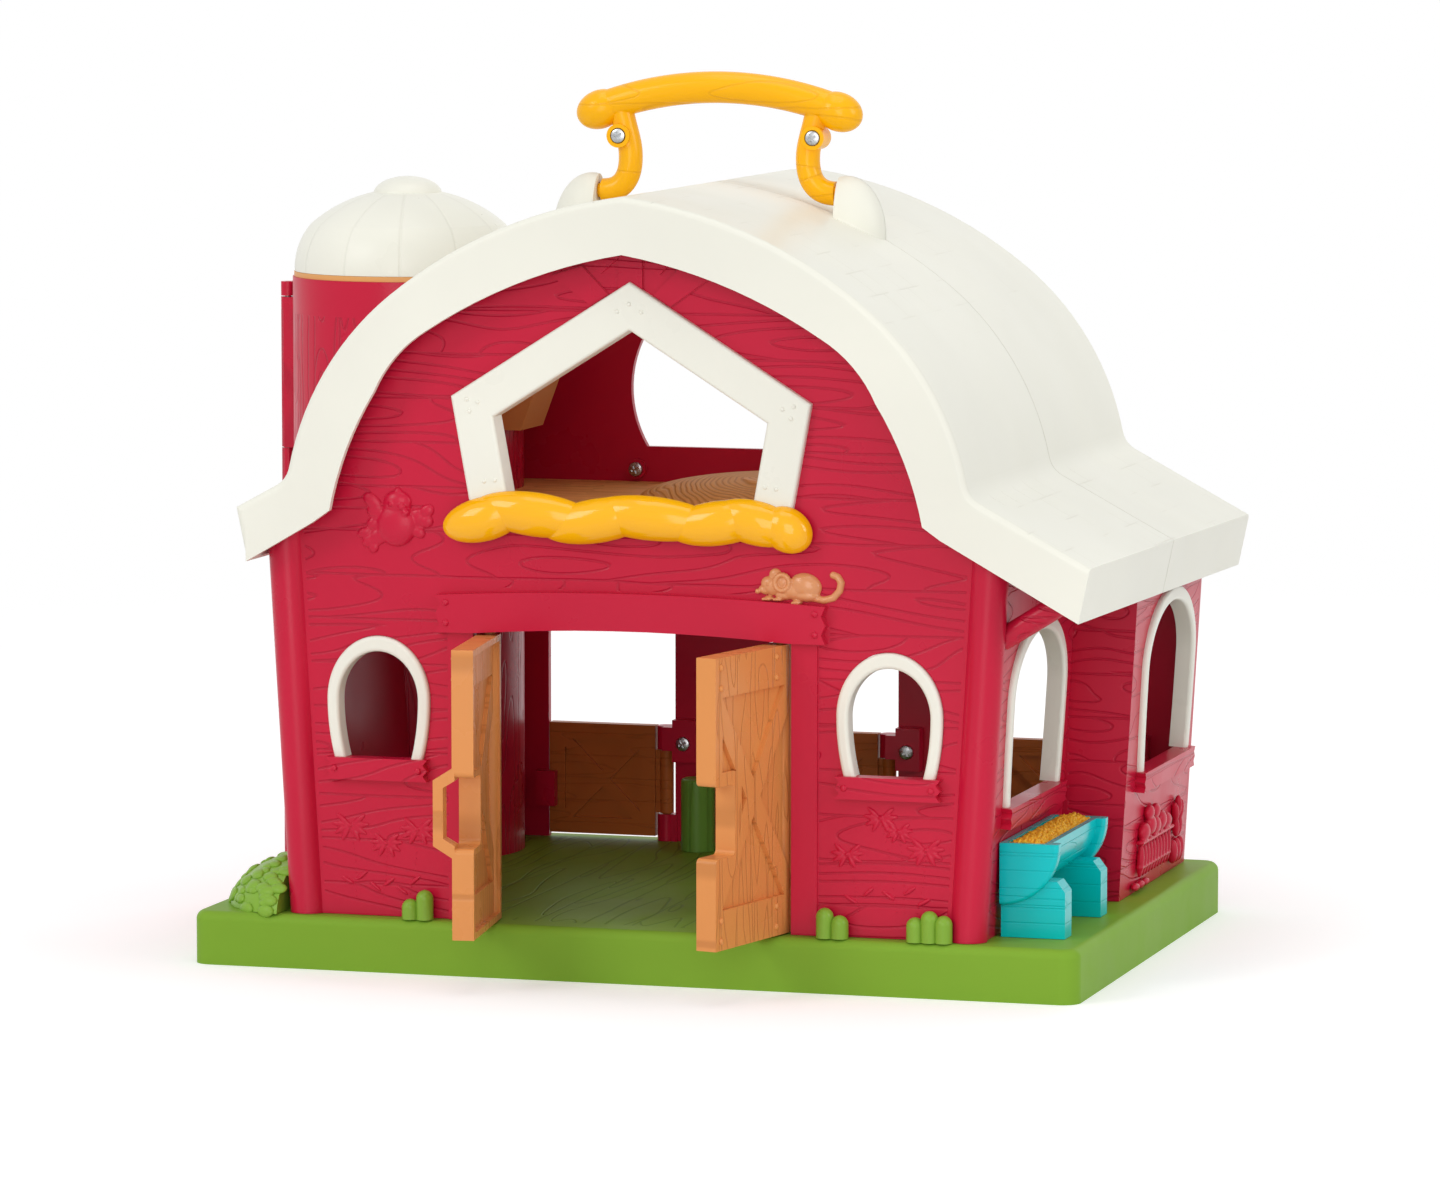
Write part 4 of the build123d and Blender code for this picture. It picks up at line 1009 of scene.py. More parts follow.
@dataclass(frozen=True)
class Relief:
    """A raised figure moulded on a wall from soft lumps that flow into one skin."""

    name: str
    wall: Wall
    lumps: tuple[Lump, ...]
    grain: float = 0.4
    rounds: int = 3
    ease: float = 0.6

    def build(self, material: bpy.types.Material) -> bpy.types.Object:
        """Melt the lumps into one skin.

        Args:
            material: Material of the relief.

        Returns:
            The finished piece.
        """
        work = bmesh.new()
        wall = self.wall.matrix()
        for lump in self.lumps:
            size = Matrix.Diagonal((lump.half_width, lump.half_height, lump.half_depth, 1.0))
            turn = Matrix.Rotation(math.radians(lump.tilt), 4, "Z")
            place = Matrix.Translation((lump.across, lump.up, lump.out))
            bmesh.ops.create_icosphere(work, subdivisions=3, radius=1.0, matrix=wall @ place @ turn @ size)
        piece = bmesh_piece(self.name, work)
        melt = piece.modifiers.new("melt", "REMESH")
        melt.mode = "VOXEL"
        melt.voxel_size = self.grain * MM
        ease = piece.modifiers.new("ease", "SMOOTH")
        ease.factor = self.ease
        ease.iterations = self.rounds
        done = settled(piece, self.name)
        done.data.shade_smooth()
        dress(done, material)
        return done


def lumps(*rows: Sequence[float]) -> list[Lump]:
    """Make lumps from rows of numbers, in the order of a lump's own values."""
    return [Lump(*row) for row in rows]


def stroke(points: Sequence[tuple[float, float]], thick: float, depth: float, steps: int = 6) -> list[Lump]:
    """Lay overlapping lumps along a line of points, as one raised stroke.

    Args:
        points: Corners of the stroke in millimetres.
        thick: Half width of the stroke.
        depth: How far it stands out.
        steps: Lumps for each part of the line.

    Returns:
        The lumps.
    """
    line = []
    for (x0, z0), (x1, z1) in zip(points, points[1:]):
        for i in range(steps + 1):
            share = i / steps
            line.append(Lump(x0 + (x1 - x0) * share, z0 + (z1 - z0) * share, thick, thick, depth))
    return line


# ---------------------------------------------------------------- sub-assemblies

class Leaf(Enum):
    """A door leaf: the side it hangs on, and the angle in degrees at which it stands."""

    LEFT = (-1, -82.0)
    RIGHT = (1, 77.0)

    def __init__(self, side: int, angle: float) -> None:
        """Work out the leaf's name and its hinge.

        Args:
            side: -1 for the left leaf and 1 for the right one.
            angle: Turn from closed in degrees.
        """
        self.side = side
        self.angle = angle
        self.label = self.name.lower()
        self.axis: Point = (side * 56.0, -108.0, 0.0)


@dataclass
class Mouldings:
    """Walls, base, roof and the other CAD pieces that keep their own shape."""

    frame: dict
    silo_centre: Point = (-147.0, 64.5, 0.0)
    doorway: Area = Area(0.0, 71.0, 73.0, 54.3)
    lintel: Area = Area(0.0, 75.0, 135.4, 8.6)
    corner_posts: Area = Area(126.4, 8.2, 95.0, 76.0, lean=0.057)
    side_room: Area = Area(152.0, 15.0, 90.0, 90.0, twin=False)
    silo_top_band: Area = Area(241.0, 8.0, 0.0, 400.0, twin=False)
    silo_foot: Area = Area(0.0, 9.0, 0.0, 400.0, twin=False)
    deck: Area = Area(0.0, 108.0, 0.0, 128.0, twin=False)

    def front_boards(self) -> BoardGrain:
        """Long boards of the front wall, left plain on posts, lintel and jambs."""
        plain = (self.doorway, self.lintel, self.corner_posts)
        return BoardGrain(Run.ALONG_X, MouldFrame(facing=Facing.FRONT), plain=plain)

    def side_boards(self, facing: Facing) -> BoardGrain:
        """Long boards of a side wall."""
        return BoardGrain(Run.ALONG_Y, MouldFrame(facing=facing))

    def step_boards(self) -> BoardGrain:
        """Boards of the side room's front wall, beside the posts that lean on it."""
        place = MouldFrame((0.0, 0.0, 8.0), facing=Facing.FRONT)
        return BoardGrain(Run.ALONG_X, place, ring_length=50.0, only=self.side_room)

    def silo_grain(self) -> BoardGrain:
        """Upright growth rings that follow the silo's round wall and stop under its smooth top band."""
        return BoardGrain(
            Run.ROUND, MouldFrame(self.silo_centre), board=14.0, ring_length=60.0, ring_width=9.0, rings=5.0,
            plain=(self.silo_top_band, self.silo_foot),
        )

    def door_grain(self, leaf: Leaf) -> BoardGrain:
        """Fine upright grain of a door leaf, turned with the leaf."""
        place = MouldFrame(leaf.axis, -leaf.angle)
        return BoardGrain(
            Run.UPRIGHT, place, board=13.0, ring_length=60.0, ring_width=8.0, rings=4.0, line=0.5
        )

    def red_parts(self) -> dict[str, MouldedPlastic]:
        """Choose the finish of the walls and the silo.

        Returns:
            Finish by node name.
        """
        grains = {
            "front_wall": (self.front_boards(),),
            "rear_wall": (BoardGrain(Run.ALONG_X, MouldFrame(facing=Facing.REAR)),),
            "left_wall": (self.side_boards(Facing.LEFT),),
            "right_wall": (self.side_boards(Facing.RIGHT), self.step_boards()),
            "silo_shell": (self.silo_grain(),),
            "silo_door": (self.silo_grain(),),
        }
        return {
            node: MouldedPlastic(f"red_abs_{node}", Shade.BARN_RED, 0.3, grain)
            for node, grain in grains.items()
        }

    def cream_parts(self) -> dict[str, MouldedPlastic]:
        """Choose the finish of the roofs, the window frames and the silo's dome.

        Returns:
            Finish by node name.
        """
        shingled = (Shingles(), RoofSeam())
        plan = {
            node: MouldedPlastic(
                f"cream_abs_{node}", Shade.CREAM, 0.32, shingled, depth=0.15, groove_shade=0.25, sheen=0.12
            )
            for node in ("roof_front", "roof_rear")
        }
        for node in (
            "loft_window_frame", "window_frame_front_left", "window_frame_front_right",
            "window_frame_right_front", "window_frame_right_rear",
        ):
            plan[node] = MouldedPlastic(f"cream_abs_{node}", Shade.CREAM, 0.3)
        seams = (DomeSeams(MouldFrame(self.silo_centre)),)
        plan["silo_dome"] = MouldedPlastic("cream_abs_dome", Shade.CREAM, 0.3, seams, depth=0.2, groove_shade=0.12)
        return plan

    def green_parts(self) -> dict[str, MouldedPlastic]:
        """Choose the finish of the base and what grows on it.

        Returns:
            Finish by node name.
        """
        planks = (BoardGrain(Run.DECK, MouldFrame(facing=Facing.UP), board=19.0, rings=4.0, only=self.deck),)
        bark = (BoardGrain(Run.UPRIGHT, board=7.0, rings=2.0),)
        return {
            "base": MouldedPlastic(
                "green_abs_deck", Shade.GRASS, 0.42, planks, depth=0.2, groove_shade=0.45, sheen=0.06
            ),
            "base_plate": MouldedPlastic("green_abs_cover", Shade.GRASS, 0.4),
            "bush_mound": MouldedPlastic("green_abs_bush", Shade.BUSH, 0.36),
            "grass_tufts": MouldedPlastic("green_abs_grass", Shade.GRASS, 0.3),
            "stump_post": MouldedPlastic("green_abs_post", Shade.POST, 0.35, bark, depth=0.2),
        }

    def straw_parts(self) -> dict[str, MouldedPlastic]:
        """Choose the finish of the loft's boards, the hay, the silo's collar and its chute.

        Returns:
            Finish by node name.
        """
        boards = (BoardGrain(Run.LOFT, board=20.0),)
        hay = (Strands(),)
        return {
            "loft_floor": MouldedPlastic("tan_abs_loft_boards", Shade.LOFT, 0.5, boards, groove_shade=0.6, sheen=0.1),
            "hay_pile": MouldedPlastic(
                "straw_abs_hay", Shade.STRAW, 0.55, hay, depth=0.5, groove_shade=0.4, sheen=0.08
            ),
            "silo_collar": MouldedPlastic("straw_abs_collar", Shade.STRAW, 0.4),
            "silo_chute": MouldedPlastic("tan_abs_chute", Shade.CHUTE, 0.5, sheen=0.1),
        }

    def bright_parts(self) -> dict[str, MouldedPlastic]:
        """Choose the finish of the rope trim, the handle, the trough and its feed.

        Returns:
            Finish by node name.
        """
        plan = {"loft_rope_trim": MouldedPlastic("yellow_abs_rope", Shade.YELLOW, 0.1, sheen=0.4)}
        bars = (BoardGrain(Run.ALONG_X, board=40.0, ring_length=70.0, ring_width=12.0, rings=3.0, line=0.5),)
        for node in ("handle_front", "handle_rear"):
            plan[node] = MouldedPlastic(f"yellow_abs_{node}", Shade.YELLOW, 0.2, bars, depth=0.15)
        slats = (BoardGrain(Run.ALONG_Y, board=6.5, rings=1.0, line=0.4),)
        plan["trough"] = MouldedPlastic("teal_abs_trough", Shade.TEAL, 0.2, slats, depth=0.15, groove_shade=0.12)
        plan["trough_feed"] = MouldedPlastic("yellow_abs_feed", Shade.FEED, 0.45)
        return plan

    def gates_and_doors(self) -> dict[str, MouldedPlastic]:
        """Choose the finish of the gates, their clamps and the door leaves.

        Returns:
            Finish by node name.
        """
        plan = {}
        rails = (BoardGrain(Run.ALONG_X, board=9.0, ring_length=50.0, ring_width=7.0, rings=3.0, line=0.45),)
        for place in ("left", "middle", "right"):
            plan[f"gate_{place}"] = MouldedPlastic(
                f"brown_abs_gate_{place}", Shade.BROWN, 0.36, rails, depth=0.12, groove_shade=0.15, sheen=0.15
            )
            plan[f"gate_bracket_{place}"] = MouldedPlastic(f"red_abs_bracket_{place}", Shade.BARN_RED, 0.3)
        for leaf in Leaf:
            plan[f"{leaf.label}_door"] = MouldedPlastic(
                f"tan_abs_{leaf.label}_door", Shade.TAN, 0.28, (self.door_grain(leaf),), depth=0.2
            )
        return plan

    def build(self) -> None:
        """Dress every moulding."""
        plan = {
            **self.red_parts(), **self.cream_parts(), **self.green_parts(), **self.straw_parts(),
            **self.bright_parts(), **self.gates_and_doors(),
        }
        for node, finish in plan.items():
            dress(self.frame["nodes"][node], finish.material())
            LOG.info("dressed %s with %s", node, finish.name)


@dataclass
class Screws:
    """Phillips screws in the handle, the gate clamps, the loft and the base.

    The head's profile is given in shares of its radius and height, from its hidden
    shank to its crown, and the recess in shares of its height.
    """

    radius: float = 2.9 * MM
    height: float = 1.4 * MM
    slot_width: float = 0.8 * MM
    slot_length: float = 3.3 * MM
    slot_share: float = 1.1
    profile: tuple[tuple[float, float], ...] = (
        (0.5, -2.0), (0.5, 0.0), (1.0, 0.0), (1.0, 0.42), (0.9, 0.76), (0.6, 0.94), (0.2, 0.98),
    )
    rear_wall_y: float = 107.0
    base_places: tuple[tuple[float, float], ...] = (
        (-145, -95), (0, -95), (145, -95), (0, 95), (145, 95), (-60, 95),
    )

    def head(self) -> bpy.types.Object:
        """Make a pan head with a cross recess, its seat on the origin.

        Returns:
            The head's shape.
        """
        blank = lathe("screw_blank", [(r * self.radius, z * self.height) for r, z in self.profile])
        cross = bmesh.new()
        for angle in (25.0, 115.0):
            size = Matrix.Diagonal((self.slot_length, self.slot_width, self.slot_share * self.height, 1.0))
            turn = Matrix.Rotation(math.radians(angle), 4, "Z")
            place = Matrix.Translation((0, 0, self.height))
            bmesh.ops.create_cube(cross, size=1.0, matrix=place @ turn @ size)
        cutter = bmesh_piece("screw_cross", cross)
        cut = blank.modifiers.new("recess", "BOOLEAN")
        cut.object = cutter
        cut.solver = "EXACT"
        cut.use_self = True
        done = settled(blank, "screw_head")
        bpy.data.objects.remove(cutter)
        return done

    def seats(self) -> dict[str, tuple[str, list[Point], Point]]:
        """List the screws by node.

        Returns:
            Body, places in millimetres and outward direction of each group.
        """
        wall_y = self.rear_wall_y
        return {
            "handle_screws": ("carry_handle", [(s * 38.3, -5.2, 306.0) for s in (-1, 1)], (0, -1, 0)),
            "bracket_screws": ("barn", [(x + 4.7, wall_y - 5.15, 60.0) for x in (-50, 42, 134)], (0, -1, 0)),
            "loft_screws": ("barn", [(s * 65.6, wall_y - 2.6, 169.0) for s in (-1, 1)], (0, -1, 0)),
            "base_screws": ("barn", [(x, y, 1.4) for x, y in self.base_places], (0, 0, -1)),
        }

    def build(self) -> None:
        """Set a screw at every seat."""
        steel = ZincSteel().material()
        for node, (body, places, facing) in self.seats().items():
            spots = [tuple(value * MM for value in place) for place in places]
            piece = stamp(f"{node}_phillips", spots, [facing] * len(spots), self.head(), steel)
            soften(piece, 35.0)
            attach(piece, body)
            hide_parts(node)
            LOG.info("set %d screws for %s", len(spots), node)


@dataclass
class Pegs:
    """Moulded peg heads on the lintel, the sills, the loft window frame and the doors; sizes in millimetres.

    Columns count outwards from the middle of the front, and a leaf's from its hinge.
    """

    radius: float = 1.25
    small_radius: float = 0.8
    dome: tuple[tuple[float, float], ...] = ((1.0, -0.3), (1.0, 0.1), (0.86, 0.42), (0.5, 0.6), (0.12, 0.66))
    board_face_y: float = -116.0
    lintel_column: float = 70.6
    lintel_rows: tuple[float, ...] = (130.8, 138.4)
    sill_column: float = 98.0
    sill_spread: float = 16.4
    sill_row: float = 75.3
    frame_face_y: float = -115.0
    frame_top: tuple[tuple[float, float], ...] = ((0.0, 249.6), (-4.6, 246.8), (4.6, 246.8))
    frame_sides: tuple[tuple[float, float], ...] = (
        (62.4, 213.6), (58.2, 212.6), (61.4, 209.2), (55.8, 183.5), (51.6, 184.0),
    )
    leaf_face_y: float = -112.0
    leaf_rows: tuple[float, ...] = (24.0, 31.5, 115.5, 123.0)
    leaf_columns: tuple[float, ...] = (4.2, 45.0)

    def head(self, radius: float) -> bpy.types.Object:
        """Make a peg's round head, its foot a little below the origin."""
        return lathe("peg_head", [(r * radius * MM, z * radius * MM) for r, z in self.dome], 14)

    def row(
        self, name: str, body: str, places: Sequence[Point], facing: Point, shade: Shade, radius: float,
    ) -> None:
        """Set a row of pegs.

        Args:
            name: Name of the piece.
            body: Body that carries it.
            places: Places in millimetres.
            facing: Outward direction.
            shade: Plastic of the board beneath.
            radius: Radius of a head in millimetres.
        """
        finish = MouldedPlastic(f"{name}_abs", shade, 0.28).material()
        spots = [tuple(value * MM for value in place) for place in places]
        piece = stamp(name, spots, [facing] * len(spots), self.head(radius), finish)
        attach(piece, body)
        LOG.info("set %d pegs as %s", len(spots), name)

    def front_rows(self) -> None:
        """Set the pegs of the lintel, the sills and the loft window frame."""
        y = self.board_face_y
        lintel = [(s * self.lintel_column, y, z) for s in (-1, 1) for z in self.lintel_rows]
        sills = [
            (s * self.sill_column + e * self.sill_spread, y, self.sill_row) for s in (-1, 1) for e in (-1, 1)
        ]
        self.row("lintel_pegs", "barn", lintel + sills, (0, -1, 0), Shade.BARN_RED, self.radius)
        frame = [*self.frame_top, *((s * x, z) for s in (-1, 1) for x, z in self.frame_sides)]
        places = [(x, self.frame_face_y, z) for x, z in frame]
        self.row("loft_frame_pegs", "barn", places, (0, -1, 0), Shade.CREAM, self.small_radius)

    def leaf_row(self, leaf: Leaf) -> None:
        """Set the pegs on the ends of a door leaf's two rails.

        Args:
            leaf: The leaf, which the pegs turn with.
        """
        turn = Matrix.Rotation(math.radians(leaf.angle), 3, "Z")
        axis = Vector(leaf.axis)
        closed = [(leaf.side * x, self.leaf_face_y, z) for z in self.leaf_rows for x in self.leaf_columns]
        places = [tuple(turn @ (Vector(place) - axis) + axis) for place in closed]
        outward = tuple(turn @ Vector((0.0, -1.0, 0.0)))
        door = f"{leaf.label}_door"
        self.row(f"{door}_pegs", f"{door}_leaf", places, outward, Shade.TAN, self.radius)

    def build(self) -> None:
        """Set every peg."""
        self.front_rows()
        for leaf in Leaf:
            self.leaf_row(leaf)


@dataclass
class GableBoards:
    """King post and two braces moulded on the gable, over the loft window; sizes in millimetres."""

    wall_y: float = -112.0
    relief: float = 0.8
    sunk: float = 0.2
    edge: float = 0.35
    frame_apex: float = 258.0
    frame_slope: float = 0.6265

    def foot(self, x: float) -> float:
        """Return the height at which a board meets the loft window frame."""
        return self.frame_apex - self.frame_slope * abs(x)

    def board(self, work: bmesh.types.BMesh, corners: Sequence[tuple[float, float]]) -> None:
        """Raise one board.

        Args:
            work: Mesh that gets the board.
            corners: Its four corners on the wall, as sideways place and height.
        """
        back = [work.verts.new((x * MM, (self.wall_y + self.sunk) * MM, z * MM)) for x, z in corners]
        front = [work.verts.new((x * MM, (self.wall_y - self.relief) * MM, z * MM)) for x, z in corners]
        sides = [(back[i], back[(i + 1) % 4], front[(i + 1) % 4], front[i]) for i in range(4)]
        for ring in (front, list(reversed(back)), *sides):
            work.faces.new(ring)

    def build(self) -> None:
        """Raise the three boards."""
        work = bmesh.new()
        self.board(work, [(-4.3, self.foot(4.3)), (4.3, self.foot(4.3)), (4.3, 266.0), (-4.3, 266.2)])
        for side in (-1, 1):
            self.board(work, [
                (side * 15.2, self.foot(15.2)), (side * 30.9, 259.6),
                (side * 18.6, 263.4), (side * 8.2, self.foot(8.2)),
            ])
        bmesh.ops.recalc_face_normals(work, faces=work.faces)
        bmesh.ops.bevel(work, geom=work.edges[:], offset=self.edge * MM, segments=2, affect="EDGES")
        piece = bmesh_piece("gable_boards", work)
        dress(piece, MouldedPlastic("red_abs_gable_boards", Shade.BARN_RED, 0.3).material())
        soften(piece, 50.0)
        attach(piece, "barn")
        LOG.info("raised %s", piece.name)


@dataclass
class WallFigures:
    """Reliefs moulded on the walls: a bird, two flower beds and a basket of vegetables.

    Each figure is a list of lumps in millimetres on its wall. A petal's place and size
    are shares of the flower's size.
    """

    front_y: float = -111.9
    side_x: float = 157.34
    side_lean: float = 0.057
    petal_turns: tuple[int, ...] = (-62, -30, 5, 40, 140, 175, 210, 242)
    petal_reach: tuple[float, float] = (0.62, 0.5)
    petal_size: tuple[float, float] = (0.55, 0.17)

    def bird(self) -> Relief:
        """Shape a plump bird that spreads its wings, at the left of the front wall.

        Returns:
            The relief.
        """
        wings = lumps(
            (-9.2, 8.6, 4.6, 2.7, 1.3, -38), (-7.4, 4.6, 4.4, 2.9, 1.3, -20), (-9.0, 0.4, 2.6, 2.4, 1.2),
            (12.0, 5.6, 3.2, 2.6, 1.3, 30), (11.8, 1.8, 2.9, 2.5, 1.3), (9.0, -2.4, 2.7, 2.2, 1.2, -30),
            (8.4, 3.0, 3.4, 3.6, 1.2),
        )
        tail = lumps(
            (-12.6, -3.0, 3.0, 2.0, 1.2, 25), (-10.8, -6.0, 3.0, 2.2, 1.2, 50),
            (-7.0, -4.4, 4.6, 3.2, 1.3, 30), (-8.6, -8.4, 2.4, 1.9, 1.2, 70),
        )
        body = lumps(
            (0.2, 0.4, 7.9, 8.4, 2.9), (0.6, 8.6, 5.6, 4.6, 2.7), (0.8, 12.8, 1.5, 1.6, 1.3),
            (2.8, 7.2, 1.7, 1.5, 1.5, 0, 2.0), (4.4, 5.0, 1.5, 1.4, 1.4, 0, 1.8),
            (-1.4, 8.0, 0.8, 0.8, 0.8, 0, 2.5),
        )
        return Relief("bird_relief", Wall((-91.0, self.front_y, 166.0)), tuple(wings + tail + body))

    def flower(self, x: float, z: float, foot: tuple[float, float], size: float) -> list[Lump]:
        """Shape a drooping daisy head on its stem.

        Args:
            x: Sideways place of the head in millimetres on the wall.
            z: Height of the head.
            foot: Place of the stem's foot.
            size: Size of the head.

        Returns:
            The lumps of eye, petals and stem.
        """
        petals = []
        for turn in self.petal_turns:
            across = x + size * self.petal_reach[0] * math.cos(math.radians(turn))
            up = z + size * self.petal_reach[1] * math.sin(math.radians(turn))
            petals.append(Lump(across, up, size * self.petal_size[0], size * self.petal_size[1], 0.75, turn))
        bend = ((x + foot[0]) / 2 + 0.8, (z + foot[1]) / 2)
        return [Lump(x, z, 1.0, 0.8, 1.0), *petals, *stroke([(x, z), bend, foot], 0.34, 0.5)]

    def leaves(self, *places: tuple[float, float, float]) -> list[Lump]:
        """Pairs of low pointed leaves; each place has a tilt in degrees."""
        return [Lump(x, z, 3.0, 0.8, 0.8, tilt) for x, z, tilt in places]

    def bed(self, name: str, plants: Sequence[Lump]) -> Relief:
        """Plant a flower bed on the front wall, in finer detail than the other figures."""
        return Relief(name, Wall((0.0, self.front_y, 0.0)), tuple(plants), 0.3, 1)

    def left_bed(self) -> Relief:
        """Shape the flower bed under the left front window.

        Returns:
            The relief.
        """
        return self.bed("left_flower_relief", [
            *self.flower(-109.4, 53.6, (-107.4, 27.0), 6.4), *self.flower(-83.0, 53.0, (-86.6, 27.0), 6.2),
            *self.flower(-95.4, 47.4, (-97.0, 27.0), 5.6),
            *self.leaves(
                (-110.6, 33, 150), (-105.0, 35, 40), (-99.8, 31, 140),
                (-94.4, 33, 35), (-89.4, 30, 145), (-84.2, 34, 40),
            ),
        ])

    def right_bed(self) -> Relief:
        """Shape the flower bed under the right front window.

        Returns:
            The relief.
        """
        return self.bed("right_flower_relief", [
            *self.flower(94.6, 64.4, (100.6, 30.0), 5.8), *self.flower(101.4, 59.6, (103.6, 30.0), 4.8),
            *self.flower(111.6, 53.2, (108.4, 30.0), 6.4), *self.flower(82.0, 50.6, (86.4, 30.0), 5.6),
            *self.leaves((97.6, 36, 145), (105.6, 38, 35), (111.0, 34, 30), (83.4, 34, 150), (90.0, 37, 40)),
        ])

    def basket(self) -> Relief:
        """Shape the basket of fruit and greens on the side room's outer wall.

        Returns:
            The relief.
        """
        staves = [Lump(x, 32.6, 1.5, 6.6, 1.5) for x in range(26, 72, 5)]
        hoops = stroke([(23.4, 39.8), (74.4, 39.8)], 0.9, 1.9, 44)
        hoops += stroke([(25.0, 30.0), (72.0, 30.0)], 0.7, 1.7, 44)
        fruit = lumps(
            (29, 43.4, 4.6, 3.6, 2.4), (38, 45.0, 4.4, 4.0, 2.6), (47, 43.6, 4.6, 3.6, 2.4),
            (56, 44.6, 4.4, 3.8, 2.5), (66, 43.0, 4.6, 3.2, 2.2), (36, 50.0, 3.8, 3.0, 2.0),
            (46, 49.4, 3.8, 3.0, 2.0),
        )
        stalks = ((82, 44, 25), (86, 46, 5), (90, 44, -20), (84, 38, 15), (89, 38, -10))
        greens = [Lump(x, z, 1.4, 4.4, 1.6, tilt) for x, z, tilt in stalks]
        roots = [Lump(x, 28.6, 2.4, 5.0, 2.2, tilt) for x, tilt in ((81, 12), (86.4, 0), (91.6, -12))]
        ground = [Lump(x, 23.4, 4.0, 1.6, 1.6) for x in (20, 28, 36)]
        place = Wall((self.side_x, 0.0, -0.5), right=(0.0, 1.0, 0.0), outward=(1.0, 0.0, -self.side_lean))
        figure = tuple(staves + hoops + fruit + greens + roots + ground)
        return Relief("basket_relief", place, figure, 0.45, 2)

    def build(self) -> None:
        """Raise all the figures."""
        for relief in (self.bird(), self.left_bed(), self.right_bed(), self.basket()):
            piece = relief.build(MouldedPlastic(f"{relief.name}_abs", Shade.BARN_RED, 0.3).material())
            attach(piece, "barn")
            LOG.info("raised %s", relief.name)


@dataclass
class Mouse:
    """Small moulded mouse that sits on the lintel and replaces the plain CAD figure; sizes in millimetres."""

    wall_y: float = -111.95
    ear: Point = (57.8, 149.4, 2.2)
    ear_radii: tuple[float, float] = (2.7, 2.9)
    paws: tuple[tuple[float, float], ...] = ((51.4, 143.4), (55.6, 143.4), (62.4, 142.2))
    toe_steps: tuple[float, ...] = (-0.9, 0.2, 1.3)
    tail_path: tuple[tuple[float, float], ...] = (
        (69.0, 143.9), (73.0, 143.2), (76.6, 144.2), (79.0, 146.8),
        (79.6, 149.8), (78.4, 151.8), (76.6, 152.5),
    )

    def ear_lumps(self) -> list[Lump]:
        """Shape the near ear as a dish with a raised rim.

        Returns:
            The rim's lumps and the dish.
        """
        x, z, depth = self.ear
        wide, high = self.ear_radii
        rim = [
            Lump(x + wide * math.cos(a), z + high * math.sin(a), 0.95, 0.95, 1.3, 0, 1.9)
            for a in (i * math.pi / 9 for i in range(18))
        ]
        return [*rim, Lump(x, z, wide, high, depth)]

    def body(self) -> Relief:
        """Shape the head, the ears, the humped back, the feet and the curled tail.

        Returns:
            The relief.
        """
        head = lumps(
            (53.4, 148.0, 4.3, 3.3, 2.5, -28), (50.6, 146.4, 2.2, 1.6, 1.8, -25),
            (48.3, 145.9, 1.0, 0.95, 1.2, 0, 0.9), (54.8, 152.1, 2.4, 2.3, 1.5),
            (52.5, 148.7, 0.55, 0.6, 0.7, 0, 2.2),
        )
        back = lumps(
            (66.2, 148.2, 6.2, 4.8, 3.2, -12), (61.4, 146.4, 6.4, 3.4, 2.6), (66.8, 144.8, 5.0, 2.4, 2.9),
            (58.2, 144.6, 3.4, 1.8, 2.2),
        )
        feet = lumps((52.4, 143.4, 1.9, 1.0, 2.0), (56.6, 143.4, 1.9, 1.0, 2.0), (63.2, 142.3, 1.9, 1.1, 2.2))
        toes = [
            Lump(x + step, z - 0.3, 0.6, 0.6, 1.0, 0, 1.4) for x, z in self.paws for step in self.toe_steps
        ]
        tail = stroke(self.tail_path, 1.35, 1.7)
        figure = tuple(head + self.ear_lumps() + back + feet + toes + tail)
        return Relief("mouse_figure", Wall((0.0, self.wall_y, 0.0)), figure, 0.26, 2)

    def build(self) -> None:
        """Set the mouse on the lintel."""
        figure = self.body().build(MouldedPlastic("tan_abs_mouse", Shade.MOUSE, 0.2, sheen=0.45).material())
        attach(figure, "barn")
        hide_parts("mouse_ornament")
        LOG.info("set %s on the lintel", figure.name)


@dataclass
class Greenery:
    """Small moulded leaves that cover the bush beside the left wall."""

    frame: dict
    leaf: Point = (3.4 * MM, 2.2 * MM, 1.1 * MM)
    scatter: Scatter = Scatter(density=52000.0, smallest=0.7, largest=1.25, seed=11)

    def build(self) -> None:
        """Cover the bush."""
        ground = link_piece("bush_ground", self.frame["nodes"]["bush_mound"].data.copy())
        shape = pebble("bush_leaf", self.leaf, 2)
        finish = MouldedPlastic("green_abs_leaves", Shade.BUSH, 0.38).material()
        piece = self.scatter.strew("bush_leaves", ground, shape, finish)
        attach(piece, "barn")
        LOG.info("strewed %s", piece.name)


@dataclass
class TroughGrains:
    """Grains of feed strewn over the heap in the trough."""

    frame: dict
    grain: Point = (1.5 * MM, 0.9 * MM, 0.8 * MM)
    scatter: Scatter = Scatter(density=600000.0, smallest=0.6, largest=1.1, seed=4, tumbled=True)

    def build(self) -> None:
        """Strew the grains."""
        ground = link_piece("feed_ground", self.frame["nodes"]["trough_feed"].data.copy())
        finish = MouldedPlastic("yellow_abs_grains", Shade.FEED, 0.4).material()
        piece = self.scatter.strew("feed_grains", ground, pebble("grain", self.grain, 1), finish)
        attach(piece, "barn")
        LOG.info("strewed %s", piece.name)


# ---------------------------------------------------------------- studio

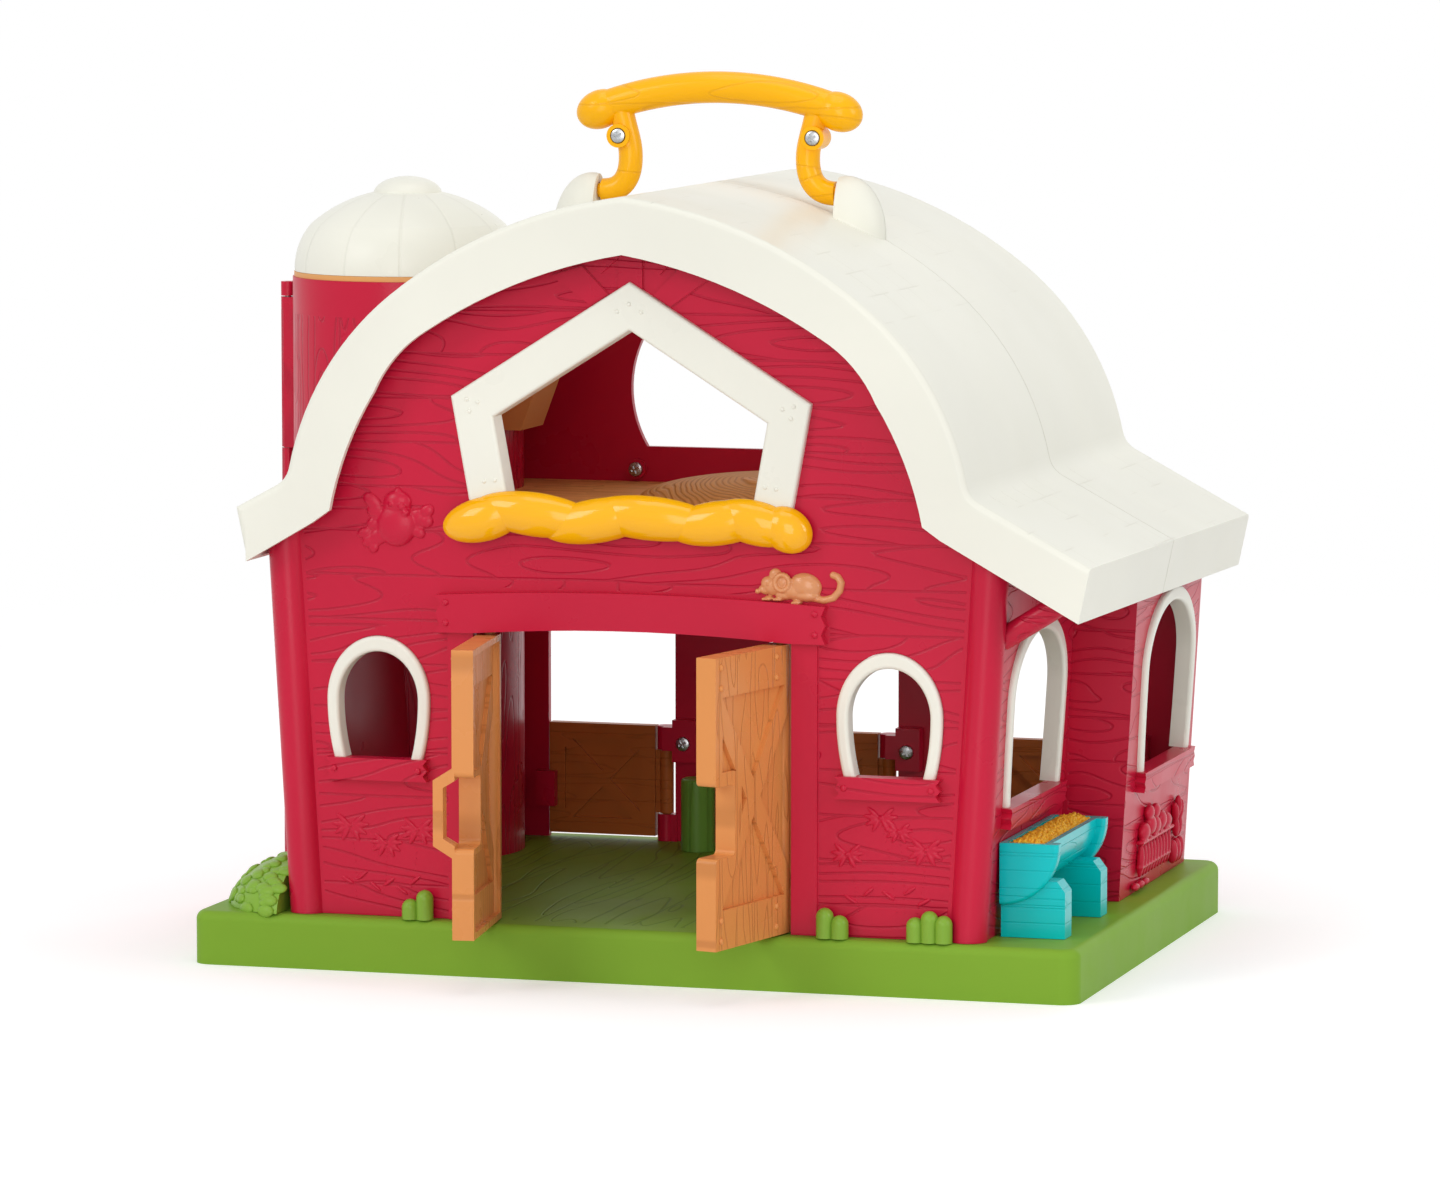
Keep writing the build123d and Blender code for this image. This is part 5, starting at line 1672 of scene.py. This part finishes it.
@dataclass(frozen=True)
class SoftBox:
    """A lamp behind cloth, a little taller than wide: place, aim and width in metres, power in watts.

    One that isn't `mirrored` lights the barn but leaves no bright patch in its gloss.
    """

    name: str
    place: Point
    aim: Point
    width: float
    power: float
    mirrored: bool = True

    def hang(self) -> None:
        """Hang the lamp and turn it to its aim."""
        data = bpy.data.lights.new(self.name, "AREA")
        data.shape = "RECTANGLE"
        data.size = self.width
        data.size_y = self.width * 1.3
        data.energy = self.power
        lamp = bpy.data.objects.new(self.name, data)
        bpy.context.scene.collection.objects.link(lamp)
        lamp.location = self.place
        lamp.visible_glossy = self.mirrored
        lamp.rotation_euler = (Vector(self.aim) - Vector(self.place)).to_track_quat("-Z", "Y").to_euler()


@dataclass
class Studio:
    """Pale floor, soft boxes and the camera; lengths in metres, the camera's turns in degrees."""

    floor_reach: float = 3.0
    fade_from: float = 0.55
    fade_to: float = 1.3
    floor_glow: float = 0.28
    fibre: float = 0.0025
    ambient: float = 0.52
    sensor_width: float = 36.0
    lens: float = 176.5
    far_end: float = 50.0
    stand: Point = (0.7635, -2.5641, 0.41775)
    look_down: float = 6.149
    look_left: float = 16.574
    soft_boxes: tuple[SoftBox, ...] = (
        SoftBox("left_soft_box", (-1.5, -1.9, 1.5), (0, 0, 0.15), 0.9, 15.5),
        SoftBox("right_soft_box", (2.4, -0.7, 1.1), (0, 0, 0.15), 0.9, 14.0),
        SoftBox("front_fill", (0.35, -2.6, 0.55), (0, 0, 0.12), 1.2, 16.0),
        SoftBox("top_soft_box", (0.0, -0.3, 2.4), (0, 0, 0.2), 1.4, 12.5),
        SoftBox("rear_soft_box", (0.35, 2.0, 0.62), (0, 0, 0.15), 0.9, 13.0, mirrored=False),
        SoftBox("loft_fill", (0, -0.02, 0.262), (0, -0.02, 0.0), 0.11, 0.034, mirrored=False),
    )

    def seen(self, tree: bpy.types.NodeTree) -> bpy.types.Node:
        """Add a mask of the rays that show the background: straight, mirrored or through glass.

        Args:
            tree: Tree of the floor's material or of the world.

        Returns:
            A node that is 1 for those rays and 0 for the light on the barn.
        """
        path = add_node(tree, "ShaderNodeLightPath").outputs
        mirrored = add_node(tree, "MAXIMUM", path["Is Glossy Ray"], path["Is Transmission Ray"])
        return add_node(tree, "MAXIMUM", path["Is Camera Ray"], mirrored)

    def floor(self) -> None:
        """Lay a pale floor that fades into the background and keeps the barn's shadow."""
        far = self.floor_reach
        corners = [(-far, -far, 0), (far, -far, 0), (far, far, 0), (-far, far, 0)]
        floor = mesh_piece("studio_floor", corners, [(0, 1, 2, 3)])
        material = bpy.data.materials.new("pale_studio_paper")
        tree = fresh_tree(material)
        place = add_node(tree, "ShaderNodeTexCoord").outputs["Object"]
        fibre = add_node(
            tree, "ShaderNodeTexNoise", place, sockets={"Scale": 1.0 / self.fibre, "Detail": 2.0}
        )
        tone = add_node(tree, "ShaderNodeMapRange", fibre, 0.3, 0.7, 0.84, 0.87)
        matt = add_node(tree, "ShaderNodeBsdfDiffuse", tone)
        glow = add_node(tree, "MULTIPLY", self.seen(tree), self.floor_glow)
        shine = add_node(tree, "ShaderNodeEmission", (1, 1, 1, 1), glow)
        both = add_node(tree, "ShaderNodeAddShader", matt, shine)
        reach = add_node(tree, "ShaderNodeVectorMath", place, operation="LENGTH").outputs["Value"]
        fade = add_node(
            tree, "ShaderNodeMapRange", reach, self.fade_from, self.fade_to, 0.0, 1.0,
            interpolation_type="SMOOTHSTEP",
        )
        shown = add_node(tree, "ShaderNodeMixShader", fade, both, add_node(tree, "ShaderNodeBsdfTransparent"))
        add_node(tree, "ShaderNodeOutputMaterial", shown)
        dress(floor, material)

    def backdrop(self) -> None:
        """Make the background white where it is seen and softer where it lights."""
        world = bpy.data.worlds.new("studio_world")
        bpy.context.scene.world = world
        tree = fresh_tree(world)
        strength = add_node(tree, "ShaderNodeMapRange", self.seen(tree), 0.0, 1.0, self.ambient, 1.0)
        sky = add_node(tree, "ShaderNodeBackground", (1, 1, 1, 1), strength)
        add_node(tree, "ShaderNodeOutputWorld", sky)

    def camera(self) -> None:
        """Stand the camera at the front right, a little above the loft."""
        data = bpy.data.cameras.new("studio_camera")
        data.sensor_width = self.sensor_width
        data.lens = self.lens
        data.clip_end = self.far_end
        camera = bpy.data.objects.new("studio_camera", data)
        bpy.context.scene.collection.objects.link(camera)
        camera.location = self.stand
        camera.rotation_euler = Euler((math.radians(90 - self.look_down), 0.0, math.radians(self.look_left)))
        bpy.context.scene.camera = camera

    def build(self) -> None:
        """Set up the whole studio."""
        self.floor()
        self.backdrop()
        for soft_box in self.soft_boxes:
            soft_box.hang()
        self.camera()
        bpy.context.scene.view_settings.view_transform = "Standard"


def main() -> None:
    """Dress the barn, add its details and light it."""
    logging.basicConfig(level=logging.INFO)
    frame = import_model()
    for part in (
        Mouldings(frame), Screws(), Pegs(), GableBoards(), WallFigures(), Mouse(), Greenery(frame),
        TroughGrains(frame), Studio(),
    ):
        part.build()
        LOG.info("built %s", type(part).__name__)


if __name__ == "__main__":
    main()
